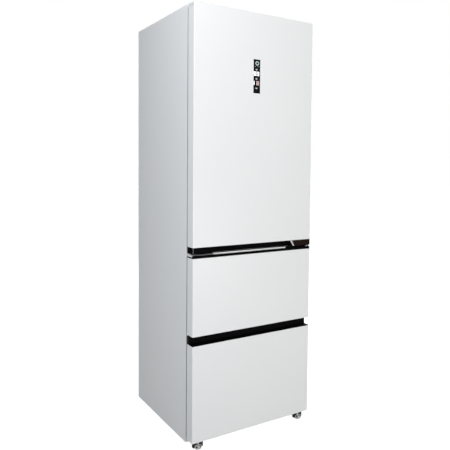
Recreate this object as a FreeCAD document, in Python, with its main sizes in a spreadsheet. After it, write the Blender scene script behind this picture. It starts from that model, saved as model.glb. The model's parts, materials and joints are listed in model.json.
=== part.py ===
"""Upright three-door refrigerator: one hinged fridge door above two pull-out freezer drawers.

Millimetres. +X is the right-hand side, the fronts face -Y and +Z is up. The origin lies on the
floor below the middle of the refrigerator.
"""

import FreeCAD
import Part
import Sketcher
import os
from types import SimpleNamespace

# Driving dimensions, one entry for each size that can be set by itself
SIZES = {
    # Outside
    "width": 595.0,
    "depth": 570.0,
    "cabinet_top": 1790.0,
    "cabinet_clear": 20.0,
    "front_clear": 34.0,
    "front_thick": 48.0,
    "front_gap": 10.0,
    # Sheets, liners and roundings
    "sheet": 1.0,
    "liner": 2.0,
    "edge_round": 4.0,
    "shell_round": 2.0,
    "liner_round": 16.0,
    "cut_past": 10.0,
    # Heights of the fronts, from the bottom up
    "lower_panel": 396.0,
    "pull_floor": 4.0,
    "pull_height": 36.0,
    "pull_depth": 31.0,
    "pull_seam": 3.0,
    "middle_panel": 317.0,
    "cap_height": 8.0,
    "seam_gap": 6.5,
    "trim_height": 26.0,
    "top_cap": 12.0,
    "door_drop": 1.0,
    # Insulated walls
    "side_wall": 45.0,
    "back_wall": 45.0,
    "top_wall": 50.0,
    "floor_wall": 55.0,
    "flange": 40.0,
    "mullion_below": 25.0,
    "mullion_above": 38.5,
    "bar_below": 26.0,
    "bar_above": 24.0,
    "bar_depth": 48.0,
    "bar_round": 3.0,
    # Back panel
    "emboss": 3.0,
    "emboss_width": 26.0,
    "emboss_pitch": 150.0,
    "emboss_margin": 120.0,
    # Machine niche, compressor and its base
    "niche_height": 215.0,
    "niche_depth": 190.0,
    "niche_wall": 45.0,
    "base_plate": 3.0,
    "compressor_radius": 72.0,
    "compressor_height": 146.0,
    "compressor_round": 24.0,
    "compressor_offset": 90.0,
    "compressor_back": 96.0,
    "stand_length": 200.0,
    "stand_width": 110.0,
    "stand_plate": 4.0,
    "stand_foot": 12.0,
    "stand_foot_radius": 9.0,
    "stand_foot_in": 14.0,
    "tray_length": 170.0,
    "tray_width": 140.0,
    "tray_height": 24.0,
    "tray_wall": 2.0,
    # Rear machine cover
    "cover_sheet": 2.0,
    "cover_clear": 3.0,
    "vent_width": 5.0,
    "vent_pitch": 13.0,
    "vent_height": 62.0,
    "vent_rise": 70.0,
    "vent_offset": 34.0,
    "gland_radius": 14.0,
    "gland_bore": 5.0,
    "gland_deep": 14.0,
    "gland_offset": 230.0,
    "gland_rise": 32.0,
    # Rear rollers
    "roller_radius": 15.0,
    "roller_width": 22.0,
    "roller_in": 47.5,
    "roller_back": 38.0,
    "axle_radius": 4.0,
    "running_clear": 0.05,
    "roller_play": 0.5,
    "ear_plate": 2.5,
    "ear_half": 10.0,
    # Levelling feet and their brackets
    "foot_in": 39.0,
    "foot_back": 24.0,
    "foot_base_radius": 11.0,
    "foot_base": 2.0,
    "foot_wheel_radius": 16.0,
    "foot_wheel_low": 8.0,
    "foot_wheel_high": 13.0,
    "foot_neck_radius": 9.0,
    "stem_radius": 5.0,
    "bracket_plate": 3.0,
    "bracket_edge": 3.0,
    "bracket_width": 59.0,
    "bracket_setback": 4.0,
    "bracket_tail": 90.0,
    "bracket_clear": 4.0,
    "bracket_round": 4.0,
    # Door hinges
    "hinge_in": 22.0,
    "hinge_back": 24.0,
    "hinge_plate": 3.0,
    "hinge_arm": 11.0,
    "hinge_leaf": 60.0,
    "hinge_leaf_back": 88.0,
    "hinge_leaf_gap": 6.0,
    "pin_radius": 5.0,
    "pin_length": 12.0,
    "collar_radius": 7.0,
    "mount_low": 5.5,
    "mount_clear": 1.0,
    "cover_height": 16.0,
    "cover_side": 6.0,
    "cover_width": 88.0,
    "cover_ahead": 8.0,
    "cover_length": 108.0,
    "cover_round": 5.0,
    "arm_clear": 0.5,
    "screw_radius": 2.4,
    "screw_clear": 0.1,
    "screw_head": 3.5,
    "screw_head_height": 2.5,
    "screw_edge": 12.0,
    "screw_pitch": 46.0,
    # Door gaskets
    "gasket_side": 24.0,
    "gasket_end": 7.0,
    "gasket_width": 14.0,
    "gasket_clear": 0.3,
    # Finger grip under the door
    "scoop_low": 207.0,
    "scoop_high": 191.0,
    "scoop_depth": 31.0,
    "scoop_rise": 16.0,
    "scoop_wall": 4.0,
    "scoop_lip": 9.0,
    "edge_plate": 4.0,
    "edge_plate_deep": 8.0,
    # Finger pockets behind the drawer lips
    "pocket_half": 200.0,
    "pocket_width": 20.0,
    "pocket_deep": 18.0,
    # Display
    "display_width": 30.0,
    "display_height": 140.0,
    "display_drop": 191.5,
    "display_deep": 9.0,
    "display_clear": 0.25,
    # Door liner and bins
    "dyke_clear": 17.5,
    "dyke_thick": 18.0,
    "dyke_deep": 60.0,
    "dyke_end": 12.0,
    "dyke_round": 6.0,
    "ledge_reach": 12.0,
    "ledge_deep": 46.0,
    "ledge_height": 8.0,
    "bin_clear": 3.0,
    "bin_deep": 112.0,
    "bin_wall": 2.5,
    "bin_round": 14.0,
    "bin_lower_rise": 30.0,
    "bin_middle_rise": 350.0,
    "bin_upper_rise": 620.0,
    "bin_lower_height": 150.0,
    "bin_middle_height": 105.0,
    "bin_upper_height": 95.0,
    # Fridge fittings
    "glass": 4.0,
    "glass_side": 2.5,
    "shelf_setback": 127.0,
    "shelf_rear_clear": 6.0,
    "shelf_head": 183.0,
    "crisper_zone": 165.0,
    "rib_reach": 12.0,
    "rib_height": 10.0,
    "rib_end": 12.0,
    "trim_bite": 8.0,
    "trim_ahead": 8.0,
    "trim_above": 6.0,
    "trim_below": 4.0,
    "trim_rear_bite": 8.0,
    "trim_rear_past": 4.0,
    "crisper_gap": 4.0,
    "crisper_side": 4.5,
    "crisper_rear_clear": 13.0,
    "crisper_height": 150.0,
    "crisper_wall": 2.5,
    "crisper_pull": 10.0,
    "crisper_pull_height": 14.0,
    "crisper_pull_half": 60.0,
    "duct_half": 95.0,
    "duct_thick": 15.0,
    "duct_low": 30.0,
    "duct_high": 40.0,
    "duct_round": 8.0,
    "outlet_half": 60.0,
    "outlet_height": 9.0,
    "outlet_deep": 8.0,
    "outlet_first": 150.0,
    "lamp_half": 140.0,
    "lamp_setback": 45.0,
    "lamp_depth": 40.0,
    "lamp_thick": 6.0,
    "lamp_round": 4.0,
    # Freezer fittings
    "evaporator_space": 50.0,
    "evaporator_cover": 3.0,
    "evaporator_half": 180.0,
    "evaporator_gap": 6.0,
    "evaporator_rise": 20.0,
    "evaporator_height": 250.0,
    "fin_pitch": 20.0,
    "fin_slot": 14.0,
    "fin_deep": 30.0,
    "fan_drop": 75.0,
    "fan_radius": 46.0,
    "fan_hub": 14.0,
    "fan_thick": 16.0,
    "fan_gap": 6.0,
    "blade_thick": 2.0,
    "motor_radius": 22.0,
    "shaft_radius": 3.0,
    "grille_slot": 8.0,
    "grille_pitch": 13.0,
    "cover_slot_half": 150.0,
    "cover_slot_height": 10.0,
    "cover_slot_rise": 60.0,
    # Drawer boxes and their telescopic rails
    "box_wall": 2.5,
    "box_floor_clear": 6.0,
    "box_head": 35.0,
    "lower_box_clear": 10.0,
    "lower_box_head": 8.0,
    "box_step_clear": 12.0,
    "rail_rear_clear": 18.0,
    "rail_setback": 9.0,
    "rail_half": 20.0,
    "rail_reach": 11.0,
    "rail_web": 1.5,
    "rail_play": 0.5,
    "rail_drop": 40.0,
}
SHELF_COUNT = 3
OUTLET_COUNT = 4
VENTS_PER_SIDE = 17
FIN_SLOTS = 17
EMBOSS_COUNT = 3
BLADE_COUNT = 7
BLADE_PITCH_DEG = 35.0
GRILLE_SLOTS = 7

doc = FreeCAD.newDocument("refrigerator")
sheet = doc.addObject("Spreadsheet::Sheet", "dim")
for row, (size_name, size_value) in enumerate(SIZES.items(), 1):
    sheet.set(f"A{row}", size_name)
    sheet.set(f"B{row}", str(size_value))
    sheet.setAlias(f"B{row}", size_name)
doc.recompute()


class Length:
    """A size or place: the expression that binds it to the sheet, and its value now."""

    def __init__(self, text, value):
        self.text = text
        self.value = value

    @staticmethod
    def of(other):
        return other if isinstance(other, Length) else Length(str(other), float(other))

    def _with(self, other, sign, value):
        return Length(f"({self.text} {sign} {Length.of(other).text})", value)

    def __add__(self, other):
        return self._with(other, "+", self.value + Length.of(other).value)

    def __sub__(self, other):
        return self._with(other, "-", self.value - Length.of(other).value)

    def __mul__(self, number):
        return self._with(number, "*", self.value * number)

    def __truediv__(self, number):
        return self._with(number, "/", self.value / number)

    def __neg__(self):
        return Length(f"(0 - {self.text})", -self.value)


d = SimpleNamespace(**{name: Length(f"dim.{name}", float(sheet.get(name))) for name in SIZES})
ZERO = Length("0", 0.0)
nodes = []


def both(half):
    """The span from -half to +half."""
    return (-half, half)


def around(centre, half):
    """The span of the given half width about a centre."""
    return (centre - half, centre + half)


def mirrored(span, side):
    """The span itself on the right (side 1), or its mirror image on the left (side -1)."""
    low, high = span
    return span if side > 0 else (-high, -low)


def bind(thing, prop, length):
    """Bind one property of an object to the sheet."""
    thing.setExpression(prop, Length.of(length).text)


def place(thing, x, y, z):
    """Bind an object's place to the sheet."""
    for axis, length in zip("xyz", (x, y, z)):
        bind(thing, f"Placement.Base.{axis}", length)


def block(name, x, y, z):
    """A box between two bounds on each axis."""
    box = doc.addObject("Part::Box", name)
    for prop, (low, high) in zip(("Length", "Width", "Height"), (x, y, z)):
        bind(box, prop, high - low)
    place(box, x[0], y[0], z[0])
    return box


def rod(name, radius, axis, span, centre):
    """A cylinder along x, y or z over a span; centre holds the other two places in order."""
    turns = {"x": ((0, 1, 0), 90), "y": ((1, 0, 0), -90), "z": ((0, 0, 1), 0)}
    cylinder = doc.addObject("Part::Cylinder", name)
    turn_axis, turn_angle = turns[axis]
    turn = FreeCAD.Rotation(FreeCAD.Vector(*turn_axis), turn_angle)
    cylinder.Placement = FreeCAD.Placement(FreeCAD.Vector(), turn)
    bind(cylinder, "Radius", radius)
    bind(cylinder, "Height", span[1] - span[0])
    spot = dict(zip([a for a in "xyz" if a != axis], centre))
    spot[axis] = span[0]
    place(cylinder, spot["x"], spot["y"], spot["z"])
    return cylinder


def join(name, *pieces):
    """One solid made of pieces that touch or overlap."""
    fused = doc.addObject("Part::MultiFuse", name)
    fused.Shapes = list(pieces)
    fused.Refine = True
    return fused


def group(name, *pieces):
    """Separate solids kept together under one name."""
    compound = doc.addObject("Part::Compound", name)
    compound.Links = list(pieces)
    return compound


def cut(name, base, *tools):
    """A base with one or more tools taken out of it."""
    difference = doc.addObject("Part::Cut", name)
    difference.Base = base
    difference.Tool = tools[0] if len(tools) == 1 else group(f"{name}_tools", *tools)
    difference.Refine = True
    return difference


def common(name, first, second):
    """What two shapes share."""
    overlap = doc.addObject("Part::Common", name)
    overlap.Base = first
    overlap.Tool = second
    return overlap


def edges_at(shape, axis, **sides):
    """Numbers of a shape's edges along an axis, on the named min or max sides of its box."""
    box = shape.BoundBox
    limits = {side: getattr(box, ("X", "Y", "Z")["xyz".index(side)] + which.capitalize())
              for side, which in sides.items()}
    axis_vector = FreeCAD.Vector(*[float(a == axis) for a in "xyz"])
    found = []
    for number, edge in enumerate(shape.Edges, 1):
        along = abs(edge.tangentAt(edge.FirstParameter).dot(axis_vector)) > 0.999
        middle = edge.CenterOfMass
        if along and all(abs(getattr(middle, side) - at) < 0.001 for side, at in limits.items()):
            found.append(number)
    return found


def rounded(name, base, radius, *edge_sets):
    """A base with the named edges rounded; each edge set is an axis and its sides."""
    doc.recompute()
    numbers = sorted({number for axis, sides in edge_sets
                      for number in edges_at(base.Shape, axis, **sides)})
    fillet = doc.addObject("Part::Fillet", name)
    fillet.Base = base
    fillet.Edges = [(number, radius.value, radius.value) for number in numbers]
    return fillet


FRONT_EDGES = (("z", {"y": "min"}),)
TUB_EDGES = (("z", {}), ("x", {"z": "min"}), ("y", {"z": "min"}))
RECESS_EDGES = (("y", {}), ("x", {"y": "max"}), ("z", {"y": "max"}))
LID_EDGES = (("z", {}), ("x", {"z": "max"}), ("y", {"z": "max"}))


def outline(body, name, plane, offset, points):
    """A closed outline of straight lines on one of the body's own planes."""
    sketch = body.newObject("Sketcher::SketchObject", name)
    support = next(f for f in body.Origin.OriginFeatures if f.Role == f"{plane}_Plane")
    sketch.AttachmentSupport = [(support, "")]
    sketch.MapMode = "FlatFace"
    bind(sketch, "AttachmentOffset.Base.z", offset)
    corners = [FreeCAD.Vector(u.value, v.value, 0) for u, v in points]
    count = len(points)
    for index, corner in enumerate(corners):
        sketch.addGeometry(Part.LineSegment(corner, corners[(index + 1) % count]))
    for index in range(count):
        sketch.addConstraint(Sketcher.Constraint("Coincident", index, 2, (index + 1) % count, 1))
    for index, corner_lengths in enumerate(points):
        for kind, length in zip(("DistanceX", "DistanceY"), corner_lengths):
            constraint = Sketcher.Constraint(kind, -1, 1, index, 1, length.value)
            label = f"{kind.lower()}_{index}"
            number = sketch.addConstraint(constraint)
            sketch.renameConstraint(number, label)
            bind(sketch, f"Constraints.{label}", length)
    return sketch


def profile(name, plane, points, span):
    """A solid with a straight-sided outline, drawn out over a span across its plane."""
    body = doc.addObject("PartDesign::Body", name)
    start = -span[1] if plane == "XZ" else span[0]
    sketch = outline(body, f"{name}_outline", plane, start, points)
    pad = body.newObject("PartDesign::Pad", f"{name}_pad")
    pad.Profile = sketch
    bind(pad, "Length", span[1] - span[0])
    return body


def turned(name, points):
    """A round solid about its own Z axis, from an outline of radius and height."""
    body = doc.addObject("PartDesign::Body", name)
    sketch = outline(body, f"{name}_outline", "XZ", ZERO, points)
    revolution = body.newObject("PartDesign::Revolution", f"{name}_turn")
    revolution.Profile = sketch
    revolution.ReferenceAxis = (sketch, ["V_Axis"])
    revolution.Angle = 360.0
    return body


def node(name, piece):
    """Keep a finished piece under its own name."""
    piece.Label = name
    nodes.append(piece)
    return piece


# Places that follow from the sizes: across, front to back, and up
half = d.width / 2
inside = half - d.side_wall
front = -(d.depth / 2)
front_back = front + d.front_thick
cabinet = front_back + d.front_gap
back = d.depth / 2
rear = back - d.back_wall
foam_back = back - d.emboss - d.sheet

lower_bottom = d.front_clear
lower_top = lower_bottom + d.lower_panel
pull_top = lower_top + d.pull_floor + d.pull_height
middle_top = pull_top + d.middle_panel
cap_top = middle_top + d.cap_height
door_bottom = cap_top + d.seam_gap
door_panel = door_bottom + d.trim_height
door_top = d.cabinet_top - d.door_drop
door_cap = door_top - d.top_cap

bottom = d.cabinet_clear
freezer_floor = bottom + d.floor_wall
freezer_ceiling = cap_top - d.mullion_below
fridge_floor = door_bottom + d.mullion_above
fridge_ceiling = d.cabinet_top - d.top_wall
bar_low = pull_top - d.bar_below
bar_high = pull_top + d.bar_above
niche_top = bottom + d.niche_height
niche_front = back - d.niche_depth
step_front = niche_front - d.niche_wall
step_top = niche_top + d.niche_wall

hinge_x = half - d.hinge_in
hinge_y = front + d.hinge_back
foot_x = half - d.foot_in
foot_y = front + d.foot_back


def build_shell():
    """Folded steel cabinet: sides and top in one sheet with a turned-in front flange, and the back."""
    solid = block("shell_solid", both(half), (cabinet, back), (bottom, d.cabinet_top))
    edges = FRONT_EDGES + (("y", {"z": "max"}), ("x", {"y": "min", "z": "max"}))
    solid = rounded("shell_rounded", solid, d.shell_round, *edges)
    hollow = block("shell_hollow", both(half - d.sheet), (cabinet + d.sheet, back + d.cut_past),
                   (bottom - d.cut_past, d.cabinet_top - d.sheet))
    mouth = block("shell_mouth", both(half - d.flange), (cabinet - d.cut_past, cabinet + d.cut_past),
                  (bottom - d.cut_past, d.cabinet_top - d.flange))
    node("outer_shell", cut("outer_shell", cut("shell_open", solid, hollow), mouth))

    panel_high = d.cabinet_top - d.sheet
    panel = [block("panel_sheet", both(half - d.sheet), (foam_back, foam_back + d.sheet),
                   (niche_top, panel_high))]
    for index in range(EMBOSS_COUNT):
        centre = d.emboss_pitch * (index - (EMBOSS_COUNT - 1) / 2)
        rib = block(f"panel_rib_{index}", around(centre, d.emboss_width / 2),
                    (foam_back + d.sheet / 2, back),
                    (niche_top + d.emboss_margin, panel_high - d.emboss_margin))
        panel.append(rounded(f"panel_rib_round_{index}", rib, d.emboss / 2, ("z", {"y": "max"}),
                             ("x", {"y": "max"})))
    node("back_panel", join("back_panel", *panel))

    pan = [(cabinet + d.liner, bottom), (niche_front, bottom), (niche_front, niche_top),
           (foam_back, niche_top), (foam_back, niche_top + d.sheet),
           (niche_front - d.sheet, niche_top + d.sheet), (niche_front - d.sheet, bottom + d.sheet),
           (cabinet + d.liner, bottom + d.sheet)]
    node("base_pan", profile("base_pan", "YZ", pan, both(half - d.sheet)))


def freezer_outline(grow, mouth):
    """The freezer's side outline, with the step over the machine niche, grown by a wall."""
    return [(mouth, freezer_floor - grow), (step_front + grow, freezer_floor - grow),
            (step_front + grow, step_top - grow), (rear + grow, step_top - grow),
            (rear + grow, freezer_ceiling + grow), (mouth, freezer_ceiling + grow)]


shelf_front = cabinet + d.shelf_setback
shelf_rear = rear - d.duct_thick - d.shelf_rear_clear - d.trim_rear_past
lid_level = fridge_floor + d.crisper_zone
shelf_pitch = (fridge_ceiling - d.shelf_head - lid_level) / SHELF_COUNT


def shelf_levels():
    """Undersides of the crisper lid and the shelves, from the bottom up."""
    return [lid_level + shelf_pitch * index for index in range(SHELF_COUNT + 1)]


def build_liners():
    """The two plastic inner cabinets, the insulation around them and the bars between the openings."""
    fridge_outer = block("fridge_outer", both(inside + d.liner), (cabinet, rear + d.liner),
                         (fridge_floor - d.liner, fridge_ceiling + d.liner))
    fridge_outer = rounded("fridge_outer_round", fridge_outer, d.liner_round + d.liner, *RECESS_EDGES)
    fridge_inner = block("fridge_inner", both(inside), (cabinet - d.cut_past, rear),
                         (fridge_floor, fridge_ceiling))
    fridge_inner = rounded("fridge_inner_round", fridge_inner, d.liner_round, *RECESS_EDGES)
    rim = (cabinet, cabinet + d.liner)
    fridge_rim = block("fridge_rim", both(half - d.flange), rim,
                       (fridge_floor - d.liner, d.cabinet_top - d.flange))
    tub = cut("fridge_tub", join("fridge_tub_solid", fridge_outer, fridge_rim), fridge_inner)
    ribs = []
    for level, underside in enumerate(shelf_levels()):
        for side in (-1, 1):
            ribs.append(block(f"shelf_rib_{level}_{'left' if side < 0 else 'right'}",
                              mirrored((inside - d.rib_reach, inside + d.liner / 2), side),
                              (shelf_front + d.rib_end, shelf_rear - d.rib_end),
                              (underside - d.rib_height, underside)))
    node("fridge_liner", join("fridge_liner", tub, *ribs))

    freezer_outer = profile("freezer_outer", "YZ", freezer_outline(d.liner, cabinet),
                            both(inside + d.liner))
    freezer_inner = profile("freezer_inner", "YZ", freezer_outline(ZERO, cabinet - d.cut_past),
                            both(inside))
    freezer_rim = block("freezer_rim", both(half - d.flange), rim, (bottom, freezer_ceiling + d.liner))
    node("freezer_liner",
         cut("freezer_liner", join("freezer_solid", freezer_outer, freezer_rim), freezer_inner))

    foam = block("foam_solid", both(half - d.sheet), (cabinet + d.liner, foam_back),
                 (bottom + d.sheet, d.cabinet_top - d.sheet))
    niche = block("foam_niche", both(half + d.cut_past), (niche_front - d.sheet, back + d.cut_past),
                  (bottom - d.cut_past, niche_top + d.sheet))
    foam = cut("foam_above_niche", foam, niche)
    foam = cut("foam_for_freezer", foam, freezer_outer)
    node("cabinet_insulation", cut("cabinet_insulation", foam, fridge_outer))

    node("mullion_trim", block("mullion_trim", both(half - d.flange), rim,
                               (freezer_ceiling + d.liner, fridge_floor - d.liner)))
    bar = block("crossbar_solid", both(inside), (cabinet, cabinet + d.bar_depth), (bar_low, bar_high))
    node("freezer_crossbar",
         rounded("freezer_crossbar", bar, d.bar_round, ("x", {"y": "max"})))


def build_machine_niche():
    """Compressor on its base plate with the rear rollers, the drip tray and the vented rear cover."""
    plate_top = bottom + d.base_plate
    plate = [block("base_plate_sheet", both(half - d.sheet), (niche_front, back - d.cover_sheet),
                   (bottom, plate_top))]
    roller_x = half - d.roller_in
    roller_y = back - d.roller_back
    windows = []
    ear_gap = d.roller_width / 2 + d.roller_play
    for side, label in ((-1, "left"), (1, "right")):
        for name, at in (("inner", roller_x - ear_gap - d.ear_plate), ("outer", roller_x + ear_gap)):
            plate.append(block(f"roller_ear_{name}_{label}", mirrored((at, at + d.ear_plate), side),
                               around(roller_y, d.ear_half),
                               (d.roller_radius - d.ear_half, plate_top)))
        plate.append(rod(f"roller_axle_{label}", d.axle_radius, "x",
                         mirrored(around(roller_x, ear_gap + d.ear_plate), side),
                         (roller_y, d.roller_radius)))
        windows.append(block(f"roller_window_{label}", mirrored(around(roller_x, ear_gap), side),
                             around(roller_y, d.roller_radius + d.ear_plate), (bottom, plate_top)))
        wheel = rod(f"roller_wheel_{label}", d.roller_radius, "x",
                    mirrored(around(roller_x, d.roller_width / 2), side), (roller_y, d.roller_radius))
        bore = rod(f"roller_bore_{label}", d.axle_radius + d.running_clear, "x",
                   mirrored(around(roller_x, d.roller_width), side), (roller_y, d.roller_radius))
        node(f"rear_roller_{label}", cut(f"rear_roller_{label}", wheel, bore))
    sheet_with_windows = cut("base_plate_windows", plate[0], *windows)
    node("compressor_base", join("compressor_base", sheet_with_windows, *plate[1:]))

    centre_x = -d.compressor_offset
    centre_y = back - d.compressor_back
    stand_low = plate_top + d.stand_foot
    can_low = stand_low + d.stand_plate
    can_top = can_low + d.compressor_height
    can = rod("compressor_can", d.compressor_radius, "z", (can_low, can_top), (centre_x, centre_y))
    doc.recompute()
    rims = [number for number, edge in enumerate(can.Shape.Edges, 1) if edge.isClosed()]
    can_round = doc.addObject("Part::Fillet", "compressor_can_round")
    can_round.Base = can
    can_round.Edges = [(number, d.compressor_round.value, d.compressor_round.value) for number in rims]
    stand = [block("compressor_stand", around(centre_x, d.stand_length / 2),
                   around(centre_y, d.stand_width / 2), (stand_low, can_low))]
    for along in (-1, 1):
        for across in (-1, 1):
            foot_at = ((d.stand_length / 2 - d.stand_foot_in) * along + centre_x,
                       (d.stand_width / 2 - d.stand_foot_in) * across + centre_y)
            stand.append(rod(f"compressor_foot_{along + 1}_{across + 1}", d.stand_foot_radius, "z",
                             (plate_top, stand_low), foot_at))
    node("compressor", join("compressor", can_round, *stand))

    tray_x = around(centre_x, d.tray_length / 2)
    tray_y = around(centre_y, d.tray_width / 2)
    tray = block("tray_solid", tray_x, tray_y, (can_top, can_top + d.tray_height))
    hollow = block("tray_hollow", around(centre_x, d.tray_length / 2 - d.tray_wall),
                   around(centre_y, d.tray_width / 2 - d.tray_wall),
                   (can_top + d.tray_wall, can_top + d.tray_height + d.cut_past))
    node("drip_tray", cut("drip_tray", tray, hollow))

    cover = block("cover_sheet_solid", both(half - d.sheet), (back - d.cover_sheet, back),
                  (bottom + d.cover_clear, niche_top))
    through = (back - d.cover_sheet - d.cut_past, back + d.cut_past)
    vents = []
    for side in (-1, 1):
        for index in range(VENTS_PER_SIDE):
            centre = (d.vent_offset + d.vent_pitch * index) * side
            vents.append(block(f"vent_{side + 1}_{index}", around(centre, d.vent_width / 2), through,
                               (bottom + d.vent_rise, bottom + d.vent_rise + d.vent_height)))
    cover = cut("cover_vented", cover, *vents)
    gland_at = (d.gland_offset, bottom + d.gland_rise)
    collar = rod("gland_collar", d.gland_radius, "y", (back - d.gland_deep, back), gland_at)
    bore = rod("gland_hole", d.gland_bore, "y", (back - d.gland_deep - d.cut_past, back + d.cut_past),
               gland_at)
    node("machine_cover", cut("machine_cover", join("cover_with_gland", cover, collar), bore))


def build_fridge_fittings():
    """Glass shelves with their trims, crispers under a glass lid, air duct cover and ceiling lamp."""
    trims = []
    glass_x = both(inside - d.glass_side)
    for level, underside in enumerate(shelf_levels()):
        name = "crisper_lid" if level == 0 else f"shelf_glass_{level}"
        pane = block(name, glass_x, (shelf_front, shelf_rear), (underside, underside + d.glass))
        node(name, pane)
        trim_z = (underside - d.trim_below, underside + d.glass + d.trim_above)
        front_trim = block(f"trim_front_{level}", glass_x,
                           (shelf_front - d.trim_ahead, shelf_front + d.trim_bite), trim_z)
        rear_trim = block(f"trim_rear_{level}", glass_x,
                          (shelf_rear - d.trim_rear_bite, shelf_rear + d.trim_rear_past), trim_z)
        trims.append(cut(f"trim_front_slotted_{level}", front_trim, pane))
        trims.append(cut(f"trim_rear_slotted_{level}", rear_trim, pane))
    node("shelf_trims", group("shelf_trims", *trims))

    crisper_y = (shelf_front, shelf_rear - d.crisper_rear_clear)
    crisper_top = fridge_floor + d.crisper_height
    wall = d.crisper_wall
    for side, label in ((-1, "left"), (1, "right")):
        span = (d.crisper_gap / 2, inside - d.crisper_side)
        tub = block(f"crisper_solid_{label}", mirrored(span, side), crisper_y,
                    (fridge_floor, crisper_top))
        tub = rounded(f"crisper_round_{label}", tub, d.liner_round, *TUB_EDGES)
        hollow = block(f"crisper_hollow_{label}", mirrored((span[0] + wall, span[1] - wall), side),
                       (crisper_y[0] + wall, crisper_y[1] - wall),
                       (fridge_floor + wall, crisper_top + d.cut_past))
        hollow = rounded(f"crisper_hollow_round_{label}", hollow, d.liner_round - wall, *TUB_EDGES)
        middle = (span[0] + span[1]) / 2
        pull = block(f"crisper_pull_{label}", mirrored(around(middle, d.crisper_pull_half), side),
                     (shelf_front - d.crisper_pull, shelf_front + wall),
                     (crisper_top - d.crisper_pull_height, crisper_top))
        node(f"crisper_{label}",
             cut(f"crisper_{label}", join(f"crisper_body_{label}", tub, pull), hollow))

    duct = block("duct_solid", both(d.duct_half), (rear - d.duct_thick, rear),
                 (fridge_floor + d.duct_low, fridge_ceiling - d.duct_high))
    duct = rounded("duct_round_edges", duct, d.duct_round, *FRONT_EDGES)
    outlets = []
    for index in range(OUTLET_COUNT):
        low = fridge_floor + d.outlet_first + shelf_pitch * index
        outlets.append(block(f"outlet_{index}", both(d.outlet_half),
                             (rear - d.duct_thick - d.cut_past, rear - d.duct_thick + d.outlet_deep),
                             (low, low + d.outlet_height)))
    node("air_duct_cover", cut("air_duct_cover", duct, *outlets))

    lamp_low = cabinet + d.lamp_setback
    lamp = block("lamp_solid", both(d.lamp_half), (lamp_low, lamp_low + d.lamp_depth),
                 (fridge_ceiling - d.lamp_thick, fridge_ceiling))
    node("ceiling_lamp", rounded("ceiling_lamp", lamp, d.lamp_round, ("x", {"z": "min"})))


def build_freezer_fittings():
    """Finned evaporator, its cover with the air grille, and the fan between them."""
    cover_front = rear - d.evaporator_space
    cover_back = cover_front + d.evaporator_cover
    cover = block("evaporator_cover_sheet", both(inside), (cover_front, cover_back),
                  (step_top, freezer_ceiling))
    through = (cover_front - d.cut_past, cover_back + d.cut_past)
    fan_z = freezer_ceiling - d.fan_drop
    slots = []
    for index in range(GRILLE_SLOTS):
        centre = d.grille_pitch * (index - (GRILLE_SLOTS - 1) / 2) + fan_z
        slots.append(block(f"grille_slot_{index}", both(d.fan_radius), through,
                           around(centre, d.grille_slot / 2)))
    disc = rod("grille_disc", d.fan_radius, "y", through, (ZERO, fan_z))
    grille = common("grille_slots", group("grille_bars", *slots), disc)
    low = step_top + d.cover_slot_rise
    return_slot = block("return_slot", both(d.cover_slot_half), through, (low, low + d.cover_slot_height))
    node("evaporator_cover",
         cut("evaporator_cover", cut("evaporator_cover_grille", cover, grille), return_slot))

    coil_front = cover_back + d.evaporator_gap
    coil_low = step_top + d.evaporator_rise
    coil = block("evaporator_solid", both(d.evaporator_half), (coil_front, rear),
                 (coil_low, coil_low + d.evaporator_height))
    gaps = []
    for index in range(FIN_SLOTS):
        centre = d.fin_pitch * (index - (FIN_SLOTS - 1) / 2)
        gaps.append(block(f"fin_gap_{index}", around(centre, d.fin_slot / 2),
                          (coil_front - d.cut_past, coil_front + d.fin_deep),
                          (coil_low - d.cut_past, coil_low + d.evaporator_height + d.cut_past)))
    node("evaporator", cut("evaporator", coil, *gaps))

    hub_front = cover_back + d.fan_gap
    hub_back = hub_front + d.fan_thick
    axis_at = (ZERO, fan_z)
    motor = rod("motor_can", d.motor_radius, "y", (hub_back + d.roller_play, rear), axis_at)
    shaft = rod("motor_shaft", d.shaft_radius, "y", (hub_front, hub_back + d.fan_thick / 2), axis_at)
    node("fan_motor", join("fan_motor", motor, shaft))
    rotor = [rod("fan_hub_solid", d.fan_hub, "y", (hub_front, hub_back), axis_at)]
    hub_middle = (hub_front + hub_back) / 2
    for index in range(BLADE_COUNT):
        blade = doc.addObject("Part::Box", f"fan_blade_{index}")
        bind(blade, "Length", d.fan_radius - d.fan_hub / 2 - d.grille_slot / 2)
        bind(blade, "Width", d.fan_thick)
        bind(blade, "Height", d.blade_thick)
        twist = FreeCAD.Rotation(FreeCAD.Vector(1, 0, 0), BLADE_PITCH_DEG)
        spin = FreeCAD.Rotation(FreeCAD.Vector(0, 1, 0), 360.0 / BLADE_COUNT * index)
        turn = spin.multiply(twist)
        blade.Placement = FreeCAD.Placement(FreeCAD.Vector(), turn)
        # The blade's own corner that lies at mid width and at half the hub's radius
        start = turn.multVec(FreeCAD.Vector(1, 0, 0))
        side = turn.multVec(FreeCAD.Vector(0, 1, 0))
        place(blade, d.fan_hub * (start.x / 2) - d.fan_thick * (side.x / 2),
              d.fan_hub * (start.y / 2) - d.fan_thick * (side.y / 2) + hub_middle,
              d.fan_hub * (start.z / 2) - d.fan_thick * (side.z / 2) + fan_z)
        rotor.append(blade)
    bore = rod("fan_bore", d.shaft_radius + d.running_clear, "y",
               (hub_front - d.cut_past, hub_back + d.cut_past), axis_at)
    node("fan_rotor", cut("fan_rotor", join("fan_rotor_solid", *rotor), bore))


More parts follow.
